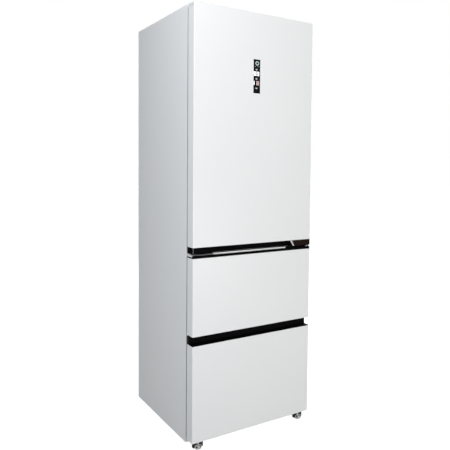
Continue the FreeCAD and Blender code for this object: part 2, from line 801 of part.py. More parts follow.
def build_feet():
    """Screw feet with thumb wheels, in moulded brackets at the two front corners."""
    bracket_low = bottom - d.bracket_plate
    boss_top = d.front_clear - d.bracket_clear
    outer = half - d.bracket_edge
    span = (outer - d.bracket_width, outer)
    brackets = []
    for side, label in ((-1, "left"), (1, "right")):
        x = mirrored(span, side)
        ahead = front + d.bracket_setback
        boss = block(f"bracket_boss_{label}", x, (ahead, cabinet - d.rail_play), (bracket_low, boss_top))
        boss = rounded(f"bracket_boss_round_{label}", boss, d.bracket_round, *FRONT_EDGES)
        tail = block(f"bracket_tail_{label}", x, (ahead + d.bracket_round, cabinet + d.bracket_tail),
                     (bracket_low, bottom))
        centre = (foot_x * side, foot_y)
        hole = rod(f"bracket_hole_{label}", d.stem_radius + d.running_clear, "z",
                   (bracket_low - d.cut_past, boss_top + d.cut_past), centre)
        brackets.append(cut(f"bracket_{label}", join(f"bracket_solid_{label}", boss, tail), hole))

        base = d.foot_base_radius
        wheel = d.foot_wheel_radius
        shape = [(ZERO, ZERO), (base, ZERO), (base, d.foot_base), (wheel, d.foot_wheel_low),
                 (wheel, d.foot_wheel_high), (d.foot_neck_radius, bracket_low),
                 (d.stem_radius, bracket_low), (d.stem_radius, boss_top), (ZERO, boss_top)]
        foot = turned(f"levelling_foot_{label}", shape)
        place(foot, centre[0], centre[1], ZERO)
        node(f"levelling_foot_{label}", foot)
    node("foot_brackets", group("foot_brackets", *brackets))


def screw(name, axis, seat, depth, head, centre):
    """A screw along an axis: its shank through a plate of the given depth, and its head on it."""
    if axis == "z":
        shank_span, head_span = (seat - depth, seat), (seat, seat + head)
    else:
        shank_span, head_span = (seat, seat + depth), (seat - head, seat)
    shank = rod(f"{name}_shank", d.screw_radius, axis, shank_span, centre)
    cap = rod(f"{name}_cap", d.screw_head, axis, head_span, centre)
    return join(name, shank, cap)


def build_hinges():
    """Top and middle door hinges with their pins, the top hinge's cover and the screws."""
    top = d.cabinet_top
    plate_top = top + d.hinge_plate
    hole_radius = d.screw_radius + d.screw_clear
    leaf_x = (hinge_x - d.hinge_leaf, hinge_x + d.hinge_arm)
    leaf_front = cabinet + d.hinge_leaf_gap
    leaf_back = cabinet + d.hinge_leaf_back
    leaf = block("top_leaf", leaf_x, (leaf_front, leaf_back), (top, plate_top))
    arm = block("top_arm", around(hinge_x, d.hinge_arm), (hinge_y - d.hinge_arm, leaf_back),
                (top, plate_top))
    arm = rounded("top_arm_round", arm, d.hinge_arm - d.screw_clear, *FRONT_EDGES)
    pin = rod("top_pin", d.pin_radius, "z", (top - d.pin_length, plate_top), (hinge_x, hinge_y))
    left = leaf_x[0] + d.screw_edge
    rear_row = leaf_back - d.screw_edge
    top_spots = [(left, rear_row), (left, rear_row - d.screw_pitch), (left + d.screw_pitch, rear_row)]
    holes = [rod(f"top_hole_{index}", hole_radius, "z", (top - d.cut_past, plate_top + d.cut_past), spot)
             for index, spot in enumerate(top_spots)]
    screws = [screw(f"top_screw_{index}", "z", plate_top, d.hinge_plate, d.screw_head_height, spot)
              for index, spot in enumerate(top_spots)]
    node("top_hinge_bracket",
         cut("top_hinge_bracket", join("top_hinge_solid", leaf, arm, pin), *holes))

    right = half - d.cover_side
    cover_x = (right - d.cover_width, right)
    cover_y = (cabinet - d.cover_ahead, cabinet - d.cover_ahead + d.cover_length)
    cover = block("hinge_cover_solid", cover_x, cover_y, (top, top + d.cover_height))
    cover = rounded("hinge_cover_round", cover, d.cover_round, *LID_EDGES)
    wall = d.liner
    hollow = block("hinge_cover_hollow", (cover_x[0] + wall, cover_x[1] - wall),
                   (cover_y[0] + wall, cover_y[1] - wall), (top - d.cut_past, top + d.cover_height - wall))
    hollow = rounded("hinge_cover_hollow_round", hollow, d.cover_round - wall, *LID_EDGES)
    gate = block("hinge_cover_gate", around(hinge_x, d.hinge_arm + d.arm_clear),
                 (cover_y[0] - d.cut_past, cover_y[0] + d.cut_past),
                 (top - d.cut_past, plate_top + d.arm_clear))
    node("top_hinge_cover",
         cut("top_hinge_cover", cut("hinge_cover_shell", cover, hollow), gate))

    arm_low = cap_top + (d.seam_gap - d.hinge_plate) / 2
    arm_top = arm_low + d.hinge_plate
    mount_y = (cabinet - d.hinge_plate, cabinet)
    mount_z = (cap_top - d.mount_low, door_bottom - d.mount_clear)
    mount = block("middle_mount", leaf_x, mount_y, mount_z)
    arm = block("middle_arm", around(hinge_x, d.hinge_arm), (hinge_y - d.hinge_arm, cabinet),
                (arm_low, arm_top))
    arm = rounded("middle_arm_round", arm, d.hinge_arm - d.screw_clear, *FRONT_EDGES)
    pin = rod("middle_pin", d.pin_radius, "z", (arm_low, door_bottom + d.pin_length), (hinge_x, hinge_y))
    collar = rod("middle_collar", d.collar_radius, "z", (arm_low, door_bottom), (hinge_x, hinge_y))
    row = (mount_z[0] + mount_z[1]) / 2
    spots = [(left, row), (left + d.screw_pitch / 2, row)]
    holes = [rod(f"middle_hole_{index}", hole_radius, "y",
                 (cabinet - d.hinge_plate - d.cut_past, cabinet + d.cut_past), spot)
             for index, spot in enumerate(spots)]
    screws += [screw(f"middle_screw_{index}", "y", mount_y[0], d.hinge_plate, d.screw_head_height, spot)
               for index, spot in enumerate(spots)]
    node("middle_hinge_bracket",
         cut("middle_hinge_bracket", join("middle_hinge_solid", mount, arm, pin, collar), *holes))
    node("hinge_screws", group("hinge_screws", *screws))


def front_skin(name, low, high):
    """A folded steel front: the face and its two side returns, with rounded upright edges."""
    solid = block(f"{name}_solid", both(half), (front, front_back), (low, high))
    solid = rounded(f"{name}_round", solid, d.edge_round, *FRONT_EDGES)
    hollow = block(f"{name}_hollow", both(half - d.sheet), (front + d.sheet, front_back + d.cut_past),
                   (low - d.cut_past, high + d.cut_past))
    hollow = rounded(f"{name}_hollow_round", hollow, d.edge_round - d.sheet, *FRONT_EDGES)
    return cut(f"{name}_folded", solid, hollow)


def front_core(name, low, high, rear_face):
    """The insulation behind a folded front."""
    solid = block(f"{name}_solid", both(half - d.sheet), (front + d.sheet, rear_face), (low, high))
    return rounded(f"{name}_round", solid, d.edge_round - d.sheet, *FRONT_EDGES)


def front_trim(name, low, high):
    """A moulded strip across the whole front, as thick as the front itself."""
    solid = block(f"{name}_solid", both(half), (front, front_back), (low, high))
    return rounded(f"{name}_round", solid, d.edge_round, *FRONT_EDGES)


def gasket(name, low, high, low_inset, high_inset):
    """A seal around a front's rear face, against the cabinet."""
    y = (front_back, cabinet - d.gasket_clear)
    outer_x = half - d.gasket_side
    outer_z = (low + low_inset, high - high_inset)
    ring = block(f"{name}_outer", both(outer_x), y, outer_z)
    hole = block(f"{name}_inner", both(outer_x - d.gasket_width), (y[0] - d.cut_past, y[1] + d.cut_past),
                 (outer_z[0] + d.gasket_width, outer_z[1] - d.gasket_width))
    node(name, cut(name, ring, hole))


def build_door():
    """The hinged door: folded skin, caps, grip, display, insulation, inner liner, bins and gasket."""
    hinge = (hinge_x, hinge_y)
    bore_radius = d.pin_radius + d.running_clear
    skin = front_skin("door_skin", door_panel, door_top)
    behind_edge = (front + d.edge_round, front_back + d.cut_past)
    notch = block("door_skin_notch", both(half + d.cut_past), behind_edge, (door_cap, door_top + d.cut_past))
    skin = cut("door_skin_notched", skin, notch)
    display_top = door_top - d.display_drop
    display_z = (display_top - d.display_height, display_top)
    window = block("door_window", both(d.display_width / 2 + d.display_clear),
                   (front - d.cut_past, front + d.display_deep + d.display_clear),
                   (display_z[0] - d.display_clear, display_z[1] + d.display_clear))
    node("door_skin", cut("door_skin", skin, window))
    node("display_panel", block("display_panel", both(d.display_width / 2),
                                (front, front + d.display_deep + d.display_clear), display_z))

    cap_body = block("top_cap_body", both(half), (front + d.edge_round, front_back), (door_cap, door_top))
    cap_tongue = front_core("top_cap_tongue", door_cap, door_top, front_back)
    cap = join("top_cap_solid", cap_body, cap_tongue)
    cap_bore = rod("top_cap_bore", bore_radius, "z", (door_cap - d.cut_past, door_top + d.cut_past), hinge)
    node("door_top_cap", cut("door_top_cap", cap, cap_bore))

    trim = front_trim("door_trim", door_bottom, door_panel)
    housing = block("scoop_housing", both(d.scoop_high + d.scoop_wall),
                    (front + d.sheet, front + d.scoop_depth + d.scoop_wall),
                    (door_panel, door_panel + d.scoop_rise + d.scoop_wall))
    below = door_bottom - d.cut_past
    scoop_outline = [(-d.scoop_low, below), (d.scoop_low, below), (d.scoop_low, door_bottom),
                     (d.scoop_high, door_panel), (-d.scoop_high, door_panel), (-d.scoop_low, door_bottom)]
    scoop_back = front + d.scoop_depth
    scoop = profile("scoop_cut", "XZ", scoop_outline, (front - d.cut_past, scoop_back))
    hook = block("scoop_hook", both(d.scoop_high), (front + d.sheet + d.scoop_lip, scoop_back),
                 (door_bottom, door_panel + d.scoop_rise))
    trim_bore = rod("trim_bore", bore_radius, "z",
                    (door_bottom - d.cut_past, door_bottom + d.pin_length + d.arm_clear), hinge)
    trim = cut("door_trim_scooped", join("door_trim_housed", trim, housing), scoop)
    node("door_bottom_trim", cut("door_bottom_trim", cut("door_trim_hooked", trim, hook), trim_bore))
    edges = []
    for side, label in ((-1, "left"), (1, "right")):
        low_x, high_x = d.scoop_low * side, d.scoop_high * side
        step = d.edge_plate * side
        slant = [(low_x - step, door_bottom), (low_x, door_bottom), (high_x, door_panel),
                 (high_x - step, door_panel)]
        edges.append(profile(f"grip_edge_{label}", "XZ", slant, (front, front + d.edge_plate_deep)))
    node("grip_edge_trims", group("grip_edge_trims", *edges))

    foam = front_core("door_foam", door_panel, door_cap, front_back - d.liner)
    foam = cut("door_foam_housed", foam, housing)
    node("door_insulation", cut("door_insulation", foam, window))

    dyke_outer = inside - d.dyke_clear
    dyke_inner = dyke_outer - d.dyke_thick
    liner = [block("door_liner_sheet", both(half - d.sheet), (front_back - d.liner, front_back),
                   (door_panel, door_cap))]
    bins = (("lower", d.bin_lower_rise, d.bin_lower_height),
            ("middle", d.bin_middle_rise, d.bin_middle_height),
            ("upper", d.bin_upper_rise, d.bin_upper_height))
    bin_half = dyke_inner - d.bin_clear
    for side, label in ((-1, "left"), (1, "right")):
        dyke = block(f"dyke_{label}", mirrored((dyke_inner, dyke_outer), side),
                     (front_back - d.liner / 2, front_back + d.dyke_deep),
                     (fridge_floor + d.dyke_end, fridge_ceiling - d.dyke_end))
        liner.append(rounded(f"dyke_round_{label}", dyke, d.dyke_round, ("z", {"y": "max"})))
        for name, rise, _ in bins:
            seat = fridge_floor + rise
            liner.append(block(f"ledge_{name}_{label}",
                               mirrored((dyke_inner - d.ledge_reach, dyke_inner + d.liner), side),
                               (front_back - d.liner / 2, front_back + d.ledge_deep),
                               (seat - d.ledge_height, seat)))
    node("door_liner", join("door_liner", *liner))

    wall = d.bin_wall
    for name, rise, height in bins:
        low = fridge_floor + rise
        y = (front_back, front_back + d.bin_deep)
        tub = block(f"bin_solid_{name}", both(bin_half), y, (low, low + height))
        tub = rounded(f"bin_round_{name}", tub, d.bin_round, *TUB_EDGES)
        hollow = block(f"bin_hollow_{name}", both(bin_half - wall), (y[0] + wall, y[1] - wall),
                       (low + wall, low + height + d.cut_past))
        hollow = rounded(f"bin_hollow_round_{name}", hollow, d.bin_round - wall, *TUB_EDGES)
        node(f"door_bin_{name}", cut(f"door_bin_{name}", tub, hollow))
    gasket("door_gasket", door_bottom, door_top, d.gasket_end, d.gasket_side)


def finger_pocket(name, top, above):
    """Housing and hollow of a finger pocket behind a drawer's front lip."""
    wall = d.scoop_wall
    pocket_front = front + d.sheet + d.scoop_lip
    pocket_back = pocket_front + d.pocket_width
    housing = block(f"{name}_housing", both(d.pocket_half + wall), (front + d.sheet, pocket_back + wall),
                    (top - d.pocket_deep - wall, top))
    hollow = block(f"{name}_pocket", both(d.pocket_half), (pocket_front, pocket_back),
                   (top - d.pocket_deep, above + d.cut_past))
    return housing, hollow


def build_drawer_fronts():
    """The two drawer fronts: folded skins, insulated cores, black grips and gaskets."""
    node("middle_front_skin", front_skin("middle_front_skin", pull_top, middle_top))
    housing, hollow = finger_pocket("middle", middle_top, cap_top)
    cap = join("middle_cap_housed", front_trim("middle_cap", middle_top, cap_top), housing)
    node("middle_top_cap", cut("middle_top_cap", cap, hollow))
    core = front_core("middle_core", pull_top, middle_top, front_back)
    node("middle_front_core", cut("middle_front_core", core, housing))
    gasket("middle_gasket", pull_top, cap_top, d.gasket_end, d.gasket_end)

    node("lower_front_skin", front_skin("lower_front_skin", lower_bottom, lower_top))
    housing, hollow = finger_pocket("lower", lower_top, lower_top + d.pull_floor)
    wall_top = pull_top - d.pull_seam
    wall = block("pull_wall", both(half), (front + d.pull_depth, front_back), (lower_top, wall_top))
    floor = front_trim("pull_floor", lower_top, lower_top + d.pull_floor)
    trim = join("lower_trim_housed", floor, wall, housing)
    node("lower_top_trim", cut("lower_top_trim", trim, hollow))
    core = front_core("lower_core", lower_bottom, lower_top, front_back)
    node("lower_front_core", cut("lower_front_core", core, housing))
    gasket("lower_gasket", lower_bottom, wall_top, d.gasket_end, d.gasket_end)


rail_rear = rear - d.evaporator_space - d.rail_rear_clear
rail_step = d.rail_web + d.rail_play
box_half = inside - d.rail_reach - rail_step * 2


def channel(name, side, outer, half_height, span_y, centre, opens_in):
    """One C-section rail: its web on the outer side, or on the inner side where it opens outward."""
    inner = outer - d.rail_reach
    bar = block(f"{name}_bar", mirrored((inner, outer), side), span_y, around(centre, half_height))
    if opens_in:
        groove_x = (inner - d.cut_past, outer - d.rail_web)
    else:
        groove_x = (inner + d.rail_web, outer + d.cut_past)
    groove = block(f"{name}_groove", mirrored(groove_x, side),
                   (span_y[0] - d.cut_past, span_y[1] + d.cut_past),
                   around(centre, half_height - d.rail_web))
    return cut(name, bar, groove)


def build_drawer_boxes():
    """The two plastic drawer boxes and their nested telescopic rails."""
    wall = d.box_wall
    box_y = (front_back, rail_rear)
    middle_z = (bar_high + d.box_floor_clear, freezer_ceiling - d.box_head)
    lower_z = (freezer_floor + d.lower_box_clear, bar_low - d.lower_box_head)
    box = block("middle_box_solid", both(box_half), box_y, middle_z)
    hollow = block("middle_box_hollow", both(box_half - wall), (box_y[0] + wall, box_y[1] - wall),
                   (middle_z[0] + wall, middle_z[1] + d.cut_past))
    node("middle_box", cut("middle_box", box, hollow))

    box_step_y = step_front - d.box_step_clear
    box_step_z = step_top + d.box_step_clear

    def stepped(grow, top):
        return [(box_y[0] + grow, lower_z[0] + grow), (box_step_y - grow, lower_z[0] + grow),
                (box_step_y - grow, box_step_z + grow), (box_y[1] - grow, box_step_z + grow),
                (box_y[1] - grow, top), (box_y[0] + grow, top)]

    box = profile("lower_box_solid", "YZ", stepped(ZERO, lower_z[1]), both(box_half))
    hollow = profile("lower_box_hollow", "YZ", stepped(wall, lower_z[1] + d.cut_past),
                     both(box_half - wall))
    node("lower_box", cut("lower_box", box, hollow))

    fixed = []
    rail_front = cabinet + d.rail_setback
    for drawer, box_top in (("middle", middle_z[1]), ("lower", lower_z[1])):
        centre = box_top - d.rail_drop
        sliding, inner = [], []
        for side, label in ((-1, "left"), (1, "right")):
            tag = f"{drawer}_{label}"
            fixed.append(channel(f"rail_fixed_{tag}", side, inside, d.rail_half,
                                 (rail_front, rail_rear), centre, True))
            sliding.append(channel(f"rail_mid_{tag}", side, inside - rail_step, d.rail_half - rail_step,
                                   (rail_front, rail_rear), centre, True))
            inner.append(channel(f"rail_inner_{tag}", side, inside - rail_step * 2,
                                 d.rail_half - rail_step * 2, (front_back, rail_rear), centre, False))
        node(f"{drawer}_rails_mid", group(f"{drawer}_rails_mid", *sliding))
        node(f"{drawer}_rails_inner", group(f"{drawer}_rails_inner", *inner))
    node("drawer_rails_fixed", group("drawer_rails_fixed", *fixed))


def write_parts():
    """Check every object and write each node's shape to its own file."""
    doc.recompute()
    failed = [o.Label for o in doc.Objects if {"Invalid", "Error"} & set(o.State)]
    bad = [piece.Label for piece in nodes if piece.Shape.isNull() or not piece.Shape.isValid()]
    if failed or bad:
        raise RuntimeError(f"failed objects {failed}, bad shapes {bad}")
    os.makedirs("parts", exist_ok=True)
    for piece in nodes:
        piece.Shape.exportStep(f"parts/{piece.Label}.step")
    solids = sum(len(piece.Shape.Solids) for piece in nodes)
    print(f"{len(nodes)} nodes, {solids} solids")


build_shell()
build_liners()
build_machine_niche()
build_fridge_fittings()
build_freezer_fittings()
build_feet()
build_hinges()
build_door()
build_drawer_fronts()
build_drawer_boxes()
write_parts()
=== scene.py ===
"""Finishes and detailed pieces of an upright three-door refrigerator.

Lengths are metres in the part's own frame: +X is right, the fronts face -Y and +Z is up.
"""
import json
import logging
import math
from dataclasses import dataclass
from enum import Enum
from typing import Iterable, Optional, Sequence

import bmesh
import bpy
from bmesh.types import BMEdge, BMFace, BMVert
from mathutils import Matrix, Vector


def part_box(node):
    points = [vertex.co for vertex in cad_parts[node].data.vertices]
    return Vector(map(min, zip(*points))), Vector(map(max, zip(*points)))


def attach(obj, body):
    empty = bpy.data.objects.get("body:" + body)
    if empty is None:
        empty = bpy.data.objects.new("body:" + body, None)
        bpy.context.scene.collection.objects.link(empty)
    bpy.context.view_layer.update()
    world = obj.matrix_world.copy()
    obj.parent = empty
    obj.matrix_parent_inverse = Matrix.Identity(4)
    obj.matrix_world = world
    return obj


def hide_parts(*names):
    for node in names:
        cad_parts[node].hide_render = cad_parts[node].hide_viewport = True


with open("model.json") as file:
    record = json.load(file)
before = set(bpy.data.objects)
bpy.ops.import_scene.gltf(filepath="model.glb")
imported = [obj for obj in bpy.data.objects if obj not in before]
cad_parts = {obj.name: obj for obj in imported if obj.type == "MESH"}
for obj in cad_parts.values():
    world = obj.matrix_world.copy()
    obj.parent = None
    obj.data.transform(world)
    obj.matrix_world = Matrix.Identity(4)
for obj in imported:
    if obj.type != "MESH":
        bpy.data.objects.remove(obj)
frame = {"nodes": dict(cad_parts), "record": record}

LOG = logging.getLogger("refrigerator")
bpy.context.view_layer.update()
MM = 0.001
NEAR = 0.02 * MM
WELD = 0.01 * MM
PARALLEL = 0.999
SHARP = math.radians(30.0)
SOFT_STEPS = 3
DISPLAY_WIDER = 3.0 * MM

Colour = tuple[float, float, float]
Point = tuple[float, float]
Spot = tuple[float, float, float]


def in_mm(pairs: Sequence[Point]) -> list[Point]:
    """Pairs of lengths that are written in millimetres, as metres."""
    return [(first * MM, second * MM) for first, second in pairs]


class Axis(Enum):
    """The three directions of the part's frame."""

    X = 0
    Y = 1
    Z = 2

    @property
    def unit(self) -> Vector:
        """The axis as a unit vector."""
        return Vector([float(index == self.value) for index in range(3)])

    def spot(self, along: float, across: Point) -> Vector:
        """Find a point by its place along the axis.

        Args:
            along: That place.
            across: The two other coordinates, in order.

        Returns:
            The point.
        """
        coords = list(across)
        coords.insert(self.value, along)
        return Vector(coords)


class Side(Enum):
    """The two sides of the part, as its names say them."""

    LEFT = "left"
    RIGHT = "right"


class Grain(Enum):
    """Fine relief of a surface, each made by its own node group."""

    PEEL = "orange_peel"
    MOULDED = "moulded_grain"
    BRUSHED = "brushed_lines"
    SPANGLE = "zinc_spangle"
    CELLS = "foam_cells"


class Nodes:
    """A shader node tree, with short ways to fill it."""

    def __init__(self, tree: bpy.types.NodeTree) -> None:
        """Take the tree that gets the nodes."""
        self.tree = tree

    def feed(self, node: bpy.types.Node, values: dict[str | int, object]) -> bpy.types.Node:
        """Give a node's inputs what they need.

        Args:
            node: The node.
            values: For an input's name or number, the socket to link or the value to set.

        Returns:
            The node.
        """
        for label, value in values.items():
            if isinstance(value, bpy.types.NodeSocket):
                self.tree.links.new(value, node.inputs[label])
            else:
                node.inputs[label].default_value = value
        return node

    def add(self, kind: str, values: dict[str | int, object]) -> bpy.types.Node:
        """Add a node of one kind and feed it."""
        return self.feed(self.tree.nodes.new(kind), values)

    def group(self, tree: bpy.types.NodeTree, values: dict[str | int, object]) -> bpy.types.Node:
        """Add a node that stands for a group, and feed it.

        Args:
            tree: The group.
            values: What its inputs get.

        Returns:
            The node.
        """
        node = self.add("ShaderNodeGroup", {})
        node.node_tree = tree
        return self.feed(node, values)

    def sum(self, operation: str, first: object, second: object) -> bpy.types.NodeSocket:
        """Add a math node.

        Args:
            operation: Blender's name of the sum.
            first: A socket or a number.
            second: A socket or a number.

        Returns:
            The node's result.
        """
        node = self.add("ShaderNodeMath", {0: first, 1: second})
        node.operation = operation
        return node.outputs["Value"]

    def noise(self, place: object, scale: object, detail: float) -> bpy.types.NodeSocket:
        """Add a noise texture.

        Args:
            place: The socket with the coordinates.
            scale: The socket with the pattern's scale.
            detail: How many finer layers the noise has.

        Returns:
            The noise's value.
        """
        node = self.add("ShaderNodeTexNoise", {"Detail": detail, "Vector": place, "Scale": scale})
        return node.outputs["Fac"]


class Effects:
    """Node groups that several finishes share, each built once."""

    BROAD_DETAIL = 3.0
    FINE_DETAIL = 5.0
    FINE_TIMES = 5.0
    NOISE_MIDDLE = 0.5
    BRUSH_STRETCH = (1.0, 0.03, 1.0)
    GRAIN_DETAIL = {Grain.PEEL: 1.0, Grain.MOULDED: 6.0, Grain.BRUSHED: 3.0}

    @staticmethod
    def start(name: str, inputs: dict[str, str], outputs: dict[str, str]) -> bpy.types.ShaderNodeTree:
        """Make an empty group with named sockets.

        Args:
            name: The group's name.
            inputs: Socket types by input name.
            outputs: Socket types by output name.

        Returns:
            The group, with its input and output nodes in place.
        """
        tree = bpy.data.node_groups.new(name, "ShaderNodeTree")
        for way, sockets in (("INPUT", inputs), ("OUTPUT", outputs)):
            for label, kind in sockets.items():
                tree.interface.new_socket(label, in_out=way, socket_type=f"NodeSocket{kind}")
        tree.nodes.new("NodeGroupInput").name = "in"
        tree.nodes.new("NodeGroupOutput").name = "out"
        return tree

    @classmethod
    def drift(cls) -> bpy.types.ShaderNodeTree:
        """The group that lets colour and roughness wander slowly over a surface.

        Returns:
            A group with colours, a roughness and their changes going in, and the changed ones coming out.
        """
        name = "surface_drift"
        if name in bpy.data.node_groups:
            return bpy.data.node_groups[name]
        tree = cls.start(name,
                         {"Place": "Vector", "Size": "Float", "Colour": "Color", "Tint": "Color",
                          "Amount": "Float", "Roughness": "Float", "Spread": "Float"},
                         {"Colour": "Color", "Roughness": "Float"})
        nodes = Nodes(tree)
        given = tree.nodes["in"].outputs
        scale = nodes.sum("DIVIDE", 1.0, given["Size"])
        broad = nodes.noise(given["Place"], scale, cls.BROAD_DETAIL)
        fine = nodes.noise(given["Place"], nodes.sum("MULTIPLY", scale, cls.FINE_TIMES), cls.FINE_DETAIL)
        mix = nodes.add("ShaderNodeMix", {})
        mix.data_type = "RGBA"
        share = nodes.sum("MULTIPLY", broad, given["Amount"])
        nodes.feed(mix, {"Factor": share, "A": given["Colour"], "B": given["Tint"]})
        swing = nodes.sum("MULTIPLY", nodes.sum("SUBTRACT", fine, cls.NOISE_MIDDLE), given["Spread"])
        roughness = nodes.sum("ADD", given["Roughness"], swing)
        nodes.feed(tree.nodes["out"], {"Colour": mix.outputs["Result"], "Roughness": roughness})
        return tree

    @classmethod
    def grain(cls, kind: Grain) -> bpy.types.ShaderNodeTree:
        """The group that gives one kind of relief.

        Args:
            kind: Which relief.

        Returns:
            A group with a place and a size going in and a height coming out.
        """
        if kind.value in bpy.data.node_groups:
            return bpy.data.node_groups[kind.value]
        tree = cls.start(kind.value, {"Place": "Vector", "Size": "Float"}, {"Height": "Float"})
        nodes = Nodes(tree)
        given = tree.nodes["in"].outputs
        scale = nodes.sum("DIVIDE", 1.0, given["Size"])
        place = given["Place"]
        if kind is Grain.BRUSHED:
            stretch = nodes.add("ShaderNodeMapping", {"Scale": cls.BRUSH_STRETCH, "Vector": place})
            place = stretch.outputs["Vector"]
        if kind in (Grain.SPANGLE, Grain.CELLS):
            cells = nodes.add("ShaderNodeTexVoronoi", {"Vector": place, "Scale": scale})
            height = cells.outputs["Color" if kind is Grain.SPANGLE else "Distance"]
        else:
            height = nodes.noise(place, scale, cls.GRAIN_DETAIL[kind])
        nodes.feed(tree.nodes["out"], {"Height": height})
        return tree


@dataclass(frozen=True)
class Finish:
    """How one material slot of the record looks.

    The tint drifts over the base colour, the roughness swings by the spread, and the grain
    raises the surface by the relief. A name sets a second finish of the same slot apart.
    """

    slot: str
    colour: Colour
    tint: Colour
    roughness: float
    grain: Grain = Grain.MOULDED
    grain_size: float = 0.6 * MM
    relief: float = 0.004 * MM
    amount: float = 0.5
    drift_size: float = 0.22
    spread: float = 0.08
    metallic: float = 0.0
    specular: float = 0.5
    transmission: float = 0.0
    ior: float = 1.5
    glow: float = 0.0
    name: str = ""

    def material(self) -> bpy.types.Material:
        """Make the finish as a Blender material, once.

        Returns:
            The material.
        """
        name = f"finish_{self.name or self.slot}"
        if name in bpy.data.materials:
            return bpy.data.materials[name]
        made = bpy.data.materials.new(name)
        made.use_nodes = True
        nodes = Nodes(made.node_tree)
        place = nodes.add("ShaderNodeTexCoord", {}).outputs["Object"]
        drift = nodes.group(Effects.drift(), {
            "Place": place, "Size": self.drift_size, "Colour": (*self.colour, 1.0), "Tint": (*self.tint, 1.0),
            "Amount": self.amount, "Roughness": self.roughness, "Spread": self.spread}).outputs
        grain = nodes.group(Effects.grain(self.grain), {"Place": place, "Size": self.grain_size}).outputs
        bump = nodes.add("ShaderNodeBump", {"Distance": self.relief, "Height": grain["Height"]}).outputs
        surface = nodes.feed(made.node_tree.nodes["Principled BSDF"], {
            "Base Color": drift["Colour"], "Roughness": drift["Roughness"], "Normal": bump["Normal"],
            "Metallic": self.metallic, "Specular IOR Level": self.specular, "IOR": self.ior,
            "Transmission Weight": self.transmission, "Emission Strength": self.glow})
        if self.glow:
            nodes.feed(surface, {"Emission Color": drift["Colour"]})
        return made


# Finishes of the record's slots, and of pieces that look different from the rest of their slot
WHITE_STEEL = Finish("white_steel", (0.86, 0.865, 0.87), (0.82, 0.83, 0.84), 0.36, Grain.PEEL, 1.4 * MM,
                     0.003 * MM, spread=0.05, specular=0.28)
BACK_STEEL = Finish("back_steel", (0.66, 0.67, 0.68), (0.58, 0.59, 0.60), 0.45, Grain.SPANGLE, 6 * MM,
                    0.002 * MM)
GALVANISED = Finish("galvanised", (0.56, 0.57, 0.58), (0.44, 0.45, 0.47), 0.42, Grain.SPANGLE, 9 * MM,
                    0.006 * MM, metallic=0.85)
FOAM = Finish("foam", (0.80, 0.72, 0.50), (0.72, 0.62, 0.40), 0.85, Grain.CELLS, 1.5 * MM, 0.3 * MM)
LINER_WHITE = Finish("liner_white", (0.86, 0.87, 0.87), (0.82, 0.835, 0.84), 0.26, Grain.MOULDED, 1.2 * MM)
WHITE_PLASTIC = Finish("white_plastic", (0.82, 0.825, 0.83), (0.77, 0.78, 0.785), 0.42, Grain.MOULDED,
                       0.5 * MM, 0.012 * MM)
BLACK_GLOSS = Finish("black_gloss", (0.0035, 0.0035, 0.004), (0.007, 0.006, 0.006), 0.16, Grain.PEEL, 3 * MM,
                     0.002 * MM, specular=0.0, spread=0.10)
# Brownish black of the hinge-end block: a painted warm reflection on the black gloss
BROWN_REFLECTION_BLACK = Finish("black_gloss", (0.021, 0.0135, 0.0105), (0.015, 0.0105, 0.009), 0.16, Grain.PEEL,
                      3 * MM, 0.002 * MM, specular=0.0, name="painted_reflection_black")
BLACK_MATTE = Finish("black_matte", (0.008, 0.008, 0.0085), (0.014, 0.014, 0.014), 0.55, Grain.MOULDED,
                     0.4 * MM, 0.02 * MM, specular=0.12)
RECESS_BLACK = Finish("black_matte", (0.0016, 0.0016, 0.0017), (0.0034, 0.0034, 0.0034), 0.5, Grain.MOULDED,
                      0.4 * MM, 0.02 * MM, specular=0.02, name="recess_black")
DISPLAY_BLACK = Finish("display_black", (0.002, 0.0024, 0.0026), (0.003, 0.0045, 0.005), 0.07, Grain.PEEL,
                       4 * MM, 0.001 * MM, specular=0.03, spread=0.04)
# Near-white of the grip's end strips: a real chamfer trim, its diffuse near-white partly a painted reflection
# of the lit chamfer
SHINE_PAINTED_TRIM = Finish("bright_trim", (0.94, 0.94, 0.935), (0.90, 0.90, 0.895), 0.28, Grain.BRUSHED, 0.4 * MM,
                     0.002 * MM, metallic=0.05)
# Grey of the corner beads: a painted highlight along the black trim's rounded front corners
CORNER_HIGHLIGHT_GREY = Finish("bright_trim", (0.20, 0.20, 0.21), (0.15, 0.15, 0.16), 0.35, Grain.BRUSHED, 0.4 * MM,
                   0.002 * MM, name="painted_corner_highlight")
# Mid grey rubber, darkened so the gap beside the door reads dark: partly the rubber's colour, partly painted
# shade
GASKET_GREY = Finish("gasket_grey", (0.58, 0.58, 0.575), (0.52, 0.52, 0.515), 0.62, Grain.MOULDED, 0.8 * MM,
                     0.02 * MM, specular=0.3)
SHELF_GLASS = Finish("shelf_glass", (0.90, 0.97, 0.95), (0.86, 0.95, 0.93), 0.03, Grain.PEEL, 8 * MM,
                     0.001 * MM, spread=0.02, transmission=1.0, ior=1.46)
CLEAR_PLASTIC = Finish("clear_plastic", (0.90, 0.95, 0.98), (0.86, 0.92, 0.96), 0.12, Grain.MOULDED,
                       2 * MM, 0.004 * MM, spread=0.05, transmission=0.92, ior=1.4)
LAMP_LENS = Finish("lamp_lens", (0.96, 0.96, 0.92), (0.92, 0.92, 0.88), 0.35, Grain.MOULDED, 1 * MM, glow=0.7)
COMPRESSOR_BLACK = Finish("compressor_black", (0.014, 0.014, 0.015), (0.024, 0.023, 0.022), 0.42, Grain.PEEL,
                          2 * MM, 0.02 * MM)
FIN_ALUMINIUM = Finish("fin_aluminium", (0.77, 0.78, 0.79), (0.66, 0.67, 0.69), 0.30, Grain.BRUSHED,
                       0.5 * MM, 0.004 * MM, metallic=0.95)
